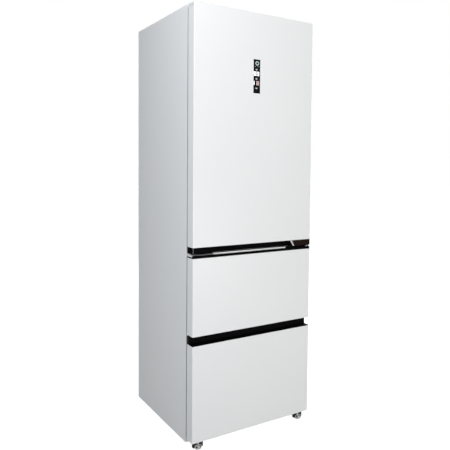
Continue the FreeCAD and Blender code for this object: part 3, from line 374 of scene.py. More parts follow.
RAIL_STEEL = Finish("rail_steel", (0.62, 0.63, 0.65), (0.52, 0.53, 0.55), 0.28, Grain.BRUSHED, 0.5 * MM,
                    0.004 * MM, metallic=0.92)
HINGE_STEEL = Finish("hinge_steel", (0.10, 0.10, 0.105), (0.16, 0.16, 0.165), 0.38, Grain.PEEL, 1 * MM,
                     0.006 * MM, metallic=0.6)
SCREW_STEEL = Finish("screw_steel", (0.66, 0.66, 0.66), (0.56, 0.56, 0.56), 0.26, Grain.BRUSHED, 0.3 * MM,
                     0.003 * MM, metallic=0.95)
FOOT_GREY = Finish("foot_grey", (0.58, 0.58, 0.56), (0.48, 0.48, 0.46), 0.45, Grain.MOULDED, 0.5 * MM,
                   0.02 * MM)
ROLLER_PLASTIC = Finish("roller_plastic", (0.05, 0.05, 0.052), (0.08, 0.08, 0.08), 0.5, Grain.MOULDED,
                        0.5 * MM, 0.02 * MM)
GLYPH_WHITE = Finish("lamp_lens", (0.93, 0.93, 0.93), (0.86, 0.84, 0.82), 0.4, glow=0.45, name="glyph_white")
GLYPH_PINK = Finish("lamp_lens", (0.64, 0.50, 0.48), (0.56, 0.43, 0.41), 0.4, glow=0.3, name="glyph_pink")
GLYPH_DIM = Finish("lamp_lens", (0.44, 0.47, 0.53), (0.36, 0.40, 0.46), 0.4, glow=0.3, name="glyph_dim")
GLYPH_TEAL = Finish("lamp_lens", (0.40, 0.50, 0.48), (0.32, 0.42, 0.41), 0.4, glow=0.3, name="glyph_teal")

# The finish of each slot of the record
FINISHES = {finish.slot: finish for finish in (
    WHITE_STEEL, BACK_STEEL, GALVANISED, FOAM, LINER_WHITE, WHITE_PLASTIC, BLACK_GLOSS, BLACK_MATTE,
    DISPLAY_BLACK, SHINE_PAINTED_TRIM, GASKET_GREY, SHELF_GLASS, CLEAR_PLASTIC, LAMP_LENS, COMPRESSOR_BLACK,
    FIN_ALUMINIUM, RAIL_STEEL, HINGE_STEEL, SCREW_STEEL, FOOT_GREY, ROLLER_PLASTIC)}


class Shape:
    """A mesh in the making, shaped with bmesh operators."""

    def __init__(self) -> None:
        """Start with an empty mesh."""
        self.bm = bmesh.new()

    def _all(self) -> list[BMVert | BMEdge | BMFace]:
        """Everything in the mesh."""
        return [*self.bm.verts, *self.bm.edges, *self.bm.faces]

    @staticmethod
    def _region(faces: list[BMFace]) -> list[BMVert | BMEdge | BMFace]:
        """Faces with their edges and corners."""
        edges = {edge for face in faces for edge in face.edges}
        return [*faces, *edges, *Shape._ends(edges)]

    @staticmethod
    def _ends(edges: Iterable[BMEdge]) -> list[BMVert]:
        """The points at the ends of edges, each once."""
        return list({vert for edge in edges for vert in edge.verts})

    def block(self, low: Sequence[float], high: Sequence[float]) -> "Shape":
        """Add a box.

        Args:
            low: Its lowest corner.
            high: Its highest corner.

        Returns:
            This shape.
        """
        low, high = Vector(low), Vector(high)
        place = Matrix.Translation((low + high) / 2) @ Matrix.Diagonal((*(high - low), 1.0))
        bmesh.ops.create_cube(self.bm, size=1.0, matrix=place)
        return self

    def line(self, points: Iterable[Sequence[float]], closed: bool = False) -> list[BMEdge]:
        """Add points joined by edges.

        Args:
            points: The points in order.
            closed: Whether the last point joins the first.

        Returns:
            The edges in order.
        """
        verts = [self.bm.verts.new(point) for point in points]
        pairs = list(zip(verts, verts[1:]))
        if closed:
            pairs.append((verts[-1], verts[0]))
        return [self.bm.edges.new(pair) for pair in pairs]

    def drag(self, edges: list[BMEdge], move: Sequence[float]) -> list[BMEdge]:
        """Draw edges out into a sheet.

        Args:
            edges: The edges that start the sheet.
            move: How far and which way the sheet goes.

        Returns:
            The edges at the sheet's new end.
        """
        made = bmesh.ops.extrude_edge_only(self.bm, edges=edges)["geom"]
        verts = {item for item in made if isinstance(item, BMVert)}
        bmesh.ops.translate(self.bm, verts=list(verts), vec=Vector(move))
        return [item for item in made if isinstance(item, BMEdge) and verts.issuperset(item.verts)]

    def prism(self, axis: Axis, outline: Sequence[Point], start: float, end: float) -> "Shape":
        """Add a solid with a flat outline.

        Args:
            axis: The direction across the outline.
            outline: Corner points, as the two other coordinates in order.
            start: Where the solid begins along the axis.
            end: Where it ends.

        Returns:
            This shape.
        """
        face = self.bm.faces.new([self.bm.verts.new(axis.spot(start, point)) for point in outline])
        self.push([face], axis.unit * (end - start))
        return self

    def push(self, faces: list[BMFace], move: Sequence[float]) -> None:
        """Draw faces out of the solid, or into it.

        Args:
            faces: Neighbouring faces that move together.
            move: How far and which way they go.
        """
        made = bmesh.ops.extrude_face_region(self.bm, geom=self._region(faces))["geom"]
        verts = [item for item in made if isinstance(item, BMVert)]
        bmesh.ops.translate(self.bm, verts=verts, vec=Vector(move))

    def lathe(self, axis: Axis, profile: Sequence[Point], centre: Sequence[float], steps: int) -> "Shape":
        """Turn a profile round an axis.

        Args:
            axis: The axis's direction.
            profile: Pairs of radius and place along the axis.
            centre: A point on the axis.
            steps: How many faces go round.

        Returns:
            This shape.
        """
        centre = Vector(centre)
        line = self.line([centre + axis.spot(along, (radius, 0.0)) for radius, along in profile])
        bmesh.ops.spin(self.bm, geom=self._ends(line) + line, cent=centre, axis=axis.unit, angle=math.tau,
                       steps=steps, use_merge=True)
        return self

    def moulding(self, low: Vector, high: Vector, profile: Sequence[Point]) -> "Shape":
        """Run a closed profile round an upright rectangle, mitred at its corners.

        Args:
            low: The rectangle's lowest corner; its depth is where the profile's own begins.
            high: The rectangle's highest corner.
            profile: Pairs of inset from the rectangle and depth behind its front.

        Returns:
            This shape.
        """
        middle = Matrix.Translation(-(low + high) / 2)
        ring = self.line([low + Vector((inset, depth, inset)) for inset, depth in profile], closed=True)
        for flip in ((-1, 1, 1), (1, 1, -1)) * 2:
            ring = self.drag(ring, (0.0, 0.0, 0.0))
            bmesh.ops.scale(self.bm, verts=self._ends(ring), vec=flip, space=middle)
        return self

    def flat(self, axis: Axis, level: float) -> list[BMFace]:
        """The faces that lie at one level across an axis."""
        return [face for face in self.bm.faces
                if all(abs(vert.co[axis.value] - level) < NEAR for vert in face.verts)]

    def edges(self, along: Axis, **near: float) -> list[BMEdge]:
        """Find straight edges.

        Args:
            along: The axis that they follow.
            near: The x, y or z at which they lie.

        Returns:
            The edges that fit.
        """
        found = []
        for edge in self.bm.edges:
            first, second = (vert.co for vert in edge.verts)
            way = (second - first).normalized()
            spot = (first + second) / 2
            fits = all(abs(getattr(spot, name) - level) < NEAR for name, level in near.items())
            if fits and abs(way.dot(along.unit)) > PARALLEL:
                found.append(edge)
        return found

    def round(self, edges: list[BMEdge], radius: float, segments: int = 5) -> "Shape":
        """Round edges off."""
        bmesh.ops.bevel(self.bm, geom=edges, offset=radius, affect="EDGES", segments=segments,
                        profile=0.5, material=-1, clamp_overlap=True)
        return self

    def score(self, faces: list[BMFace], point: Sequence[float], across: Sequence[float]) -> None:
        """Cut a line into flat faces.

        Args:
            faces: The faces that get the line.
            point: A point on the cut.
            across: The direction across the cut.
        """
        bmesh.ops.bisect_plane(self.bm, geom=self._region(faces), plane_co=Vector(point),
                               plane_no=Vector(across))

    def patch(self, axis: Axis, level: float, low: Point, high: Point) -> list[BMFace]:
        """Mark out a rectangle on the faces at one level.

        Args:
            axis: The direction across those faces.
            level: Their place along it.
            low: The rectangle's lowest corner, as the two other coordinates in order.
            high: Its highest corner.

        Returns:
            The faces inside the rectangle.
        """
        others = [other for other in Axis if other is not axis]
        for other, *levels in zip(others, low, high):
            for at in levels:
                self.score(self.flat(axis, level), other.unit * at, other.unit)
        return [face for face in self.flat(axis, level)
                if all(start < face.calc_center_median()[other.value] < end
                       for other, start, end in zip(others, low, high))]

    def cut_away(self, **spans: Point) -> "Shape":
        """Remove the part of a sheet that lies inside spans.

        Args:
            spans: The start and end along x, y or z.

        Returns:
            This shape.
        """
        for name, levels in spans.items():
            axis = Axis[name.upper()]
            for level in levels:
                self.score(list(self.bm.faces), axis.unit * level, axis.unit)
        inside = [face for face in self.bm.faces
                  if all(start < getattr(face.calc_center_median(), name) < end
                         for name, (start, end) in spans.items())]
        bmesh.ops.delete(self.bm, geom=inside, context="FACES")
        return self

    def chop(self, point: Sequence[float], across: Sequence[float]) -> "Shape":
        """Cut a solid along a plane and take off the side that it faces.

        Args:
            point: A point on the cut.
            across: The direction across the cut, towards the side that goes.

        Returns:
            This shape.
        """
        bmesh.ops.bisect_plane(self.bm, geom=self._all(), dist=WELD / 2, plane_co=Vector(point),
                               plane_no=Vector(across).normalized(), clear_outer=True)
        bmesh.ops.remove_doubles(self.bm, verts=self.bm.verts, dist=WELD)
        bmesh.ops.holes_fill(self.bm, edges=[edge for edge in self.bm.edges if edge.is_boundary])
        return self

    def mirror(self) -> "Shape":
        """Add the shape's mirror image across the middle of the part.

        Returns:
            This shape.
        """
        copies = bmesh.ops.duplicate(self.bm, geom=self._all())["geom"]
        verts = [item for item in copies if isinstance(item, BMVert)]
        bmesh.ops.scale(self.bm, verts=verts, vec=(-1, 1, 1))
        return self

    def open_top(self, level: float, corner: float) -> "Shape":
        """Take the top of a solid away and round its other edges, which leaves a sheet."""
        bmesh.ops.delete(self.bm, geom=self.flat(Axis.Z, level), context="FACES_ONLY")
        return self.round([edge for edge in self.bm.edges if not edge.is_boundary], corner)

    def rim(self, reach: float, drop: float) -> "Shape":
        """Turn the open edge of an upright tub outward and down.

        Args:
            reach: How far it goes out.
            drop: How far its edge hangs down.

        Returns:
            This shape.
        """
        edges = [edge for edge in self.bm.edges if edge.is_boundary]
        spots = [vert.co.copy() for vert in self._ends(edges)]
        low = Vector([min(spot[axis] for spot in spots) for axis in range(3)])
        high = Vector([max(spot[axis] for spot in spots) for axis in range(3)])
        size = high - low
        grow = ((size.x + 2 * reach) / size.x, (size.y + 2 * reach) / size.y, 1.0)
        edges = self.drag(edges, (0.0, 0.0, 0.0))
        middle = Matrix.Translation(-(low + high) / 2)
        bmesh.ops.scale(self.bm, verts=self._ends(edges), vec=grow, space=middle)
        self.drag(edges, (0.0, 0.0, -drop))
        return self

    def absorb(self, other: "Shape") -> None:
        """Take over another shape's mesh.

        Args:
            other: The shape, which is used up.
        """
        mesh = bpy.data.meshes.new("part")
        other.bm.to_mesh(mesh)
        other.bm.free()
        self.bm.from_mesh(mesh)
        bpy.data.meshes.remove(mesh)

    def settle(self, name: str, body: str, finish: Finish, *replaces: str, shell: float = 0.0,
               soften: float = 0.0) -> None:
        """Finish the mesh as a piece of the object.

        Args:
            name: The piece's name.
            body: The body that it moves with.
            finish: How it looks.
            replaces: The CAD nodes that it stands for.
            shell: The thickness of a sheet, which grows inward, or 0 for a solid.
            soften: The radius on all sharp edges.
        """
        bmesh.ops.remove_doubles(self.bm, verts=self.bm.verts, dist=WELD)
        bmesh.ops.recalc_face_normals(self.bm, faces=self.bm.faces)
        for face in self.bm.faces:
            face.smooth = True
        mesh = bpy.data.meshes.new(name)
        self.bm.to_mesh(mesh)
        self.bm.free()
        mesh.materials.append(finish.material())
        piece = bpy.data.objects.new(name, mesh)
        bpy.context.scene.collection.objects.link(piece)
        if shell:
            wall = piece.modifiers.new("wall", "SOLIDIFY")
            wall.thickness = shell
            wall.offset = -1.0
            wall.use_even_offset = True
        if soften:
            edge = piece.modifiers.new("edge", "BEVEL")
            edge.width = soften
            edge.segments = SOFT_STEPS
            edge.limit_method = "ANGLE"
            edge.angle_limit = SHARP
            piece.modifiers.new("shading", "WEIGHTED_NORMAL")
        else:
            mesh.set_sharp_from_angle(angle=SHARP)
        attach(piece, body)
        if replaces:
            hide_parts(*replaces)
        LOG.info("%s on %s", name, body)


# Profile of a gasket, as shares of its width and of its depth
BELLOWS = ((0.15, 0.0), (0.85, 0.0), (0.85, 0.14), (0.62, 0.26), (0.92, 0.42), (1.0, 0.58), (1.0, 0.92),
           (0.93, 1.0), (0.07, 1.0), (0.0, 0.92), (0.0, 0.58), (0.08, 0.42), (0.38, 0.26), (0.15, 0.14))


@dataclass
class Front:
    """What the door and both drawers share: a folded steel face and a bellows gasket."""

    body: str
    sheet: float = 1.0 * MM
    edge_round: float = 4.0 * MM
    edge_steps: int = 8
    hem: float = 0.35 * MM
    gasket_width: float = 14.0 * MM
    # Grey fins from the gasket out into the gap beside the front: a sheet that paints the gap's shade
    shade_fin_reach: float = 23.2 * MM
    shade_fin_thick: float = 1.5 * MM
    shade_fin_sides: tuple[int, ...] = (-1, 1)
    shade_fin_over: float = 0.0
    face_over: float = 0.0
    face_short: float = 0.0

    def folded_face(self, node: str) -> Shape:
        """Fold the face and its two side returns.

        Args:
            node: The node that the face stands for.

        Returns:
            The face, as a sheet.
        """
        low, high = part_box(node)
        shape = Shape()
        outline = ((low.x, high.y), (low.x, low.y), (high.x, low.y), (high.x, high.y))
        line = shape.line([Axis.Z.spot(low.z + self.face_short, point) for point in outline])
        shape.drag(line, (0.0, 0.0, high.z + self.face_over - low.z - self.face_short))
        return shape.round(shape.edges(Axis.Z, y=low.y), self.edge_round, self.edge_steps)

    def gasket(self, node: str) -> None:
        """Build a folding rubber seal, with upright grey fins in the gap beside it that paint the gap's
        shade.

        Args:
            node: The node that it stands for.
        """
        low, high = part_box(node)
        depth = high.y - low.y
        profile = [(inset * self.gasket_width, along * depth) for inset, along in BELLOWS]
        shape = Shape().moulding(low, high, profile)
        # Each fin is a grey sheet of painted shade in the gap
        for side in self.shade_fin_sides:
            reach = sorted((side * high.x, side * (high.x + self.shade_fin_reach)))
            shape.block((reach[0], high.y - self.shade_fin_thick, low.z),
                        (reach[1], high.y, high.z + self.shade_fin_over))
        shape.settle(f"{node}_bellows", self.body, GASKET_GREY, node)


@dataclass
class Door(Front):
    """The hinged fridge door."""

    body: str = "door"
    # Only the door's left gap gets a fin of painted shade, raised past the gasket's top
    shade_fin_sides: tuple[int, ...] = (-1,)
    shade_fin_over: float = 12.5 * MM
    cap_seam: float = 1.6 * MM
    seal_thick: float = 3.0 * MM
    cap_tongue: float = 1.0 * MM
    cap_round: float = 3.0 * MM
    cap_soften: float = 0.9 * MM
    scoop_low: float = 210.0 * MM
    scoop_high: float = 194.0 * MM
    scoop_depth: float = 31.0 * MM
    scoop_rise: float = 16.0 * MM
    scoop_lip: float = 10.0 * MM
    trim_height: float = 26.0 * MM
    trim_soften: float = 1.0 * MM
    window_clear: float = 0.25 * MM

    def build(self) -> None:
        """Build every piece of the door."""
        self._face()
        self._top_cap()
        self._grip()
        self.gasket("door_gasket")

    def _face(self) -> None:
        """Steel face with the display's window; its returns end under the top cap."""
        low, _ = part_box("door_skin")
        cap_low, cap_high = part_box("door_top_cap")
        glass_low, glass_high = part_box("display_panel")
        glass_low.x -= DISPLAY_WIDER
        clear = self.window_clear
        shape = self.folded_face("door_skin")
        shape.cut_away(y=(low.y + self.edge_round, cap_high.y + clear),
                       z=(cap_low.z - self.cap_seam, cap_high.z + clear))
        shape.cut_away(x=(glass_low.x - clear, glass_high.x + clear),
                       z=(glass_low.z - clear, glass_high.z + clear))
        shape.settle("door_face", self.body, WHITE_STEEL, "door_skin", shell=self.sheet, soften=self.hem)

    def _top_cap(self) -> None:
        """Moulded cap with a tongue behind the top of the face, on a grey seal that fills the seam."""
        low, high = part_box("door_top_cap")
        shoulder = low.y - self.cap_tongue + self.edge_round
        reach = high.x - self.cap_tongue
        outline = ((-high.x, high.y), (-high.x, shoulder), (-reach, shoulder), (-reach, low.y),
                   (reach, low.y), (reach, shoulder), (high.x, shoulder), (high.x, high.y))
        shape = Shape().prism(Axis.Z, outline, low.z, high.z)
        shape.round(shape.edges(Axis.Z, y=low.y), self.cap_round)
        shape.settle("door_cap", self.body, WHITE_PLASTIC, "door_top_cap", soften=self.cap_soften)

        inset = self.sheet - self.hem
        seal = Shape().block((inset - high.x, low.y + self.edge_round, low.z - self.seal_thick),
                             (high.x - inset, high.y - inset, low.z + self.hem))
        seal.settle("door_cap_seal", self.body, GASKET_GREY, soften=self.hem / 2)

    def _slant(self, side: int) -> Vector:
        """The direction across the slanted end of the scoop, on the left (-1) or the right (1)."""
        return Vector((self.trim_height, 0.0, (self.scoop_low - self.scoop_high) * side))

    def _trim(self, low: Vector, high: Vector) -> Shape:
        """The trim below the face: two end blocks and the scooped grip between them.

        Args:
            low: The trim's lowest corner.
            high: Its highest corner.

        Returns:
            The trim, still in one piece.
        """
        scoop_back = low.y + self.scoop_depth
        shape = Shape().block((low.x, scoop_back, low.z), (high.x, high.y, low.z + self.trim_height))
        for side in (-1, 1):
            shape.score(shape.flat(Axis.Y, scoop_back), (self.scoop_low * side, 0.0, low.z),
                        self._slant(side))
        ends = [face for face in shape.flat(Axis.Y, scoop_back)
                if abs(face.calc_center_median().x) > self.scoop_high]
        for end in ends:
            shape.push([end], (0.0, low.y - scoop_back, 0.0))
        for side in (low.x, high.x):
            shape.round(shape.edges(Axis.Z, x=side, y=low.y), self.edge_round)
        return shape

    def _grip(self) -> None:
        """Black trim, a block at the hinge end whose brownish black is a painted warm reflection, and the
        hook above the scoop.
        """
        low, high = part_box("door_bottom_trim")
        top = low.z + self.trim_height
        scoop_back = low.y + self.scoop_depth
        joint = (self.scoop_low + self.hem, 0.0, low.z)
        across = self._slant(1)
        trim = self._trim(low, high).chop(joint, across)
        trim.settle("door_grip_trim", self.body, BLACK_GLOSS, "door_bottom_trim", soften=self.trim_soften)
        block = self._trim(low, high).chop(joint, -across)
        # The block's brownish black is a painted reflection
        block.settle("door_hinge_block", self.body, BROWN_REFLECTION_BLACK, soften=self.trim_soften)

        wall = high.z - top - self.scoop_rise
        hook = Shape().block((-self.scoop_high - wall, low.y + self.sheet, top),
                             (self.scoop_high + wall, scoop_back + wall, high.z))
        mouth = hook.patch(Axis.Z, top, (-self.scoop_high, low.y + self.scoop_lip),
                           (self.scoop_high, scoop_back))
        hook.push(mouth, (0.0, 0.0, self.scoop_rise))
        hook.settle("door_grip_hook", self.body, BLACK_GLOSS, soften=self.hem)


@dataclass
class DrawerFront(Front):
    """The insulated front of one freezer drawer."""

    name: str = "middle"
    pocket_half: float = 200.0 * MM
    pocket_front: float = 10.0 * MM
    pocket_width: float = 20.0 * MM
    pocket_wall: float = 4.0 * MM
    panel_inset: float = 34.0 * MM
    panel_sink: float = 3.0 * MM
    box_round: float = 12.0 * MM
    box_wall: float = 2.5 * MM
    rim_reach: float = 4.0 * MM
    rim_drop: float = 5.0 * MM

    def build(self) -> None:
        """Build the face, the inner panel and the gasket."""
        skin = f"{self.name}_front_skin"
        self.folded_face(skin).settle(f"{self.name}_face", self.body, WHITE_STEEL, skin, shell=self.sheet,
                                      soften=self.hem)
        self._inner_panel()
        self.gasket(f"{self.name}_gasket")

    def _inner_panel(self) -> None:
        """Moulded panel that closes the folded face at its back and ends."""
        core = f"{self.name}_front_core"
        low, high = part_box(core)
        low.z += self.face_short
        high.z += self.face_over
        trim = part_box("middle_top_cap" if self.name == "middle" else "lower_top_trim")[0]
        shape = Shape().block(low, high)
        start = low.y - self.sheet + self.pocket_front - self.pocket_wall
        well = shape.patch(Axis.Z, high.z, (-self.pocket_half - self.pocket_wall, start),
                           (self.pocket_half + self.pocket_wall,
                            start + self.pocket_width + 2 * self.pocket_wall))
        shape.push(well, (0.0, 0.0, trim.z - high.z - self.sheet))
        inset = self.panel_inset
        panel = shape.patch(Axis.Y, high.y, (low.x + inset, low.z + inset), (high.x - inset, high.z - inset))
        shape.push(panel, (0.0, -self.panel_sink, 0.0))
        shape.settle(f"{self.name}_inner_panel", self.body, LINER_WHITE, core, soften=self.sheet)

    def finger_pocket(self, shape: Shape, front: float, front_wall: float, top: float, under: float,
                      floor: float) -> None:
        """Sink the finger pocket into a trim, with its housing below.

        Args:
            shape: The trim.
            front: Where the pocket begins, front to back.
            front_wall: The thickness of the wall before it.
            top: The level of the trim's upper face.
            under: The level of its lower face.
            floor: The level of the housing's underside.
        """
        half, wall = self.pocket_half, self.pocket_wall
        back = front + self.pocket_width
        housing = shape.patch(Axis.Z, under, (-half - wall, front - front_wall), (half + wall, back + wall))
        shape.push(housing, (0.0, 0.0, floor - under))
        well = shape.patch(Axis.Z, top, (-half, front), (half, back))
        shape.push(well, (0.0, 0.0, floor + wall - top))

    def box(self, outline: Optional[Sequence[Point]] = None) -> None:
        """The drawer's plastic box, with a turned-out rim.

        Args:
            outline: Its side outline, where it isn't a plain box.
        """
        node = f"{self.name}_box"
        low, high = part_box(node)
        shape = Shape()
        if outline:
            shape.prism(Axis.X, outline, low.x, high.x)
        else:
            shape.block(low, high)
        shape.open_top(high.z, self.box_round).rim(self.rim_reach, self.rim_drop)
        shape.settle(f"{node}_tub", self.body, CLEAR_PLASTIC, node, shell=self.box_wall)


@dataclass
class MiddleDrawer(DrawerFront):
    """The upper freezer drawer, with a black lip, a pale plate and the pull behind the lip."""

    body: str = "middle_drawer"
    name: str = "middle"
    face_over: float = -3.0 * MM
    lip_drop: float = 1.0 * MM
    lip_side: float = 4.0 * MM
    lip_arm: float = 5.5 * MM
    lip_soften: float = 0.8 * MM
    plate_drop: float = 1.6 * MM
    overlap: float = 0.5 * MM
    rib: float = 1.5 * MM
    rib_rise: float = 4.8 * MM
    low_rise: float = 1.8 * MM
    pull_from: float = -200.0 * MM
    dark_from: float = 166.0 * MM
    dark_to: float = 277.0 * MM
    end_from: float = 291.5 * MM
    left_rise: float = 1.4 * MM

    def build(self) -> None:
        """Build every piece of the drawer."""
        super().build()
        low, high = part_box("middle_top_cap")
        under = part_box("middle_front_skin")[1].z + self.face_over
        self._lip(low, high, under)
        self._plate(low, high, under)
        self.box()

    def _lip(self, low: Vector, high: Vector, under: float) -> None:
        """Black lip along the top of the front, its thin left arm and the dark end at the hinge.

        Args:
            low: The lowest corner of the cap that the lip is part of.
            high: Its highest corner.
            under: The level of the lip's underside.
        """
        inner_x = high.x - self.lip_side
        inner_y = low.y + self.pocket_front
        top = high.z - self.lip_drop
        outline = ((low.x, inner_y), (low.x, low.y), (high.x, low.y), (high.x, high.y), (inner_x, high.y),
                   (inner_x, inner_y))
        lip = Shape().prism(Axis.Z, outline, under, top)
        lip.round(lip.edges(Axis.Z, y=low.y), self.edge_round)
        lip.block((low.x, inner_y - self.overlap, under),
                  (-inner_x, high.y - self.overlap, under + self.lip_arm))
        lip.block((low.x + self.edge_round, low.y + self.overlap, top - self.overlap),
                  (self.pull_from, inner_y - self.overlap, top + self.left_rise))
        lip.block((self.dark_from, inner_y - self.overlap, under + self.lip_arm),
                  (self.dark_to, inner_y + self.rib, high.z + self.rib_rise))
        lip.block((self.end_from, inner_y - self.overlap, under + self.lip_arm),
                  (high.x - self.overlap, high.y - self.overlap, high.z + self.rib_rise))
        lip.settle("middle_lip", self.body, BLACK_GLOSS, "middle_top_cap", soften=self.lip_soften)

    def _plate(self, low: Vector, high: Vector, under: float) -> None:
        """Pale plate with the finger pocket, the pull that stands before the pocket and its two ends.

        Args:
            low: The lowest corner of the cap that the plate is part of.
            high: Its highest corner.
            under: The level of the plate's underside.
        """
        inner_x = high.x - self.lip_side
        inner_y = low.y + self.pocket_front
        top = high.z - self.plate_drop
        gap = self.hem / 4
        pull_front = inner_y + gap
        plate = Shape().block((-inner_x, inner_y, under), (inner_x, high.y, top))
        self.finger_pocket(plate, inner_y + self.rib, self.rib / 2, top, under, low.z)
        plate.settle("middle_grip_plate", self.body, WHITE_PLASTIC, soften=self.hem)

        pull = Shape().block((self.pull_from, pull_front, top - self.overlap),
                             (self.dark_from, inner_y + self.rib, high.z + self.rib_rise))
        pull.block((-inner_x, pull_front, top - self.overlap),
                   (self.pull_from - gap, inner_y + self.rib, high.z + self.low_rise))
        pull.block((low.x + self.overlap, inner_y + self.overlap, under + self.lip_arm),
                   (-inner_x + self.rib, high.y - self.overlap, high.z + self.low_rise))
        corner = ((self.dark_to, top - self.overlap), (self.end_from, top - self.overlap),
                  (self.end_from, high.z + self.rib_rise))
        pull.prism(Axis.Y, corner, pull_front, inner_y + self.rib)
        pull.settle("middle_pull", self.body, WHITE_PLASTIC, soften=self.hem / 2)


@dataclass
class LowerDrawer(DrawerFront):
    """The lower freezer drawer, with a black recessed pull above its face."""

    body: str = "lower_drawer"
    name: str = "lower"
    face_over: float = 2.0 * MM
    face_short: float = 3.0 * MM
    floor_thick: float = 2.0 * MM
    wall_front: float = 31.0 * MM
    cove: float = 2.5 * MM
    step_front: float = 38.0 * MM
    step_top: float = 292.0 * MM

    def build(self) -> None:
        """Build every piece of the drawer."""
        super().build()
        self._recess()
        low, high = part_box("lower_box")
        self.box(((low.y, low.z), (self.step_front, low.z), (self.step_front, self.step_top),
                  (high.y, self.step_top), (high.y, high.z), (low.y, high.z)))

    def _recess(self) -> None:
        """Black floor and coved back wall of the recess, with the finger pocket behind the lip."""
        low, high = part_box("lower_top_trim")
        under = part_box("lower_front_skin")[1].z + self.face_over
        floor = under + self.floor_thick
        wall = low.y + self.wall_front
        outline = ((low.y, under), (low.y, floor), (wall, floor), (wall, high.z), (high.y, high.z),
                   (high.y, under))
        shape = Shape().prism(Axis.X, outline, low.x, high.x)
        shape.round(shape.edges(Axis.X, y=wall, z=floor), self.cove)
        shape.round(shape.edges(Axis.Z, y=low.y), self.edge_round)
        front = low.y + self.pocket_front
        self.finger_pocket(shape, front, self.pocket_front - self.sheet, floor, under, low.z)
        shape.settle("lower_recess", self.body, RECESS_BLACK, "lower_top_trim", soften=self.hem)


@dataclass
class GripEdges:
    """Bright chamfer strips at the two ends of the door's grip, their near-white partly a painted reflection,
    and grey beads on the trim's front corners that are a painted highlight.
    """

    body: str = "door"
    strip: float = 4.4 * MM
    outward: float = 3.0 * MM
    slant: float = 16.0 * MM
    soften: float = 0.3 * MM
    bead: float = 0.9 * MM
    bead_round: float = 0.54 * MM
    bead_steps: int = 16
    bead_in: float = 1.5 * MM
    bead_ends: float = 0.5 * MM

    def build(self) -> None:
        """Build both strips as one piece, and both beads as another."""
        low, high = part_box("grip_edge_trims")
        reach = high.x + self.outward
        outline = ((reach, low.z), (reach - self.strip, low.z), (reach - self.strip - self.slant, high.z),
                   (reach - self.slant, high.z))
        shape = Shape().prism(Axis.Y, outline, low.y, high.y)
        rise = Vector((-self.slant, 0.0, high.z - low.z))
        inward = Vector((-self.strip, high.y - low.y, 0.0))
        shape.chop((reach, low.y, low.z), rise.cross(inward)).mirror()
        # The strips' near-white is partly a painted reflection of the lit chamfers
        shape.settle("grip_edge_strips", self.body, SHINE_PAINTED_TRIM, "grip_edge_trims", soften=self.soften)

        # The grey beads paint the highlight on the trim's two front corners
        trim_low, trim_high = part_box("door_bottom_trim")
        length = high.z - low.z - 2 * self.bead_ends
        ends = self.bead_round
        profile = ((0.0, 0.0), (ends, 0.0), (self.bead, ends), (self.bead, length - ends), (ends, length),
                   (0.0, length))
        centre = (trim_high.x - self.bead_in, trim_low.y + self.bead_in, low.z + self.bead_ends)
        beads = Shape().lathe(Axis.Z, profile, centre, self.bead_steps).mirror()
        beads.settle("grip_corner_highlight_beads", self.body, CORNER_HIGHLIGHT_GREY)


class Glyph(Enum):
    """What a lit sign shows."""

    RING = "ring"
    DOT = "dot"
    SHELF = "shelf"
    FLAKE = "flake"
    DIGIT = "digit"


@dataclass(frozen=True)
class Sign:
    """One lit sign, with its place across and its drop from the top in millimetres."""

    glyph: Glyph
    across: float
    drop: float
    digit: int = 0


# Lit signs of the display by piece
SIGNS = (
    ("display_ring", GLYPH_TEAL, (Sign(Glyph.RING, 1.2, 15.9),)),
    ("display_icons", GLYPH_DIM, (
        Sign(Glyph.DOT, -7.8, 29.5), Sign(Glyph.DOT, 5.7, 29.5), Sign(Glyph.SHELF, -1.8, 42.0),
        Sign(Glyph.FLAKE, -1.8, 80.5), Sign(Glyph.SHELF, -1.8, 119.6))),
    ("display_numbers", GLYPH_WHITE, (
        Sign(Glyph.DIGIT, -9.4, 59.0, 0), Sign(Glyph.DIGIT, 5.2, 59.0, 3), Sign(Glyph.DIGIT, -9.4, 98.0, 1))),
    ("display_freezer_digit", GLYPH_PINK, (Sign(Glyph.DIGIT, 4.0, 98.0, 8),)),
)

# Strokes of the digits 0 to 9, and for each stroke its steps across and up and whether it is upright
DIGIT_STROKES = ("abcdef", "ef", "abged", "abgcd", "fgbc", "afgcd", "afgedc", "abc", "abcdefg", "abcdfg")
STROKE_SPOTS = {"a": (0, 2, 0), "b": (1, 1, 1), "c": (1, -1, 1), "d": (0, -2, 0), "e": (-1, -1, 1),
                "f": (-1, 1, 1), "g": (0, 0, 0)}


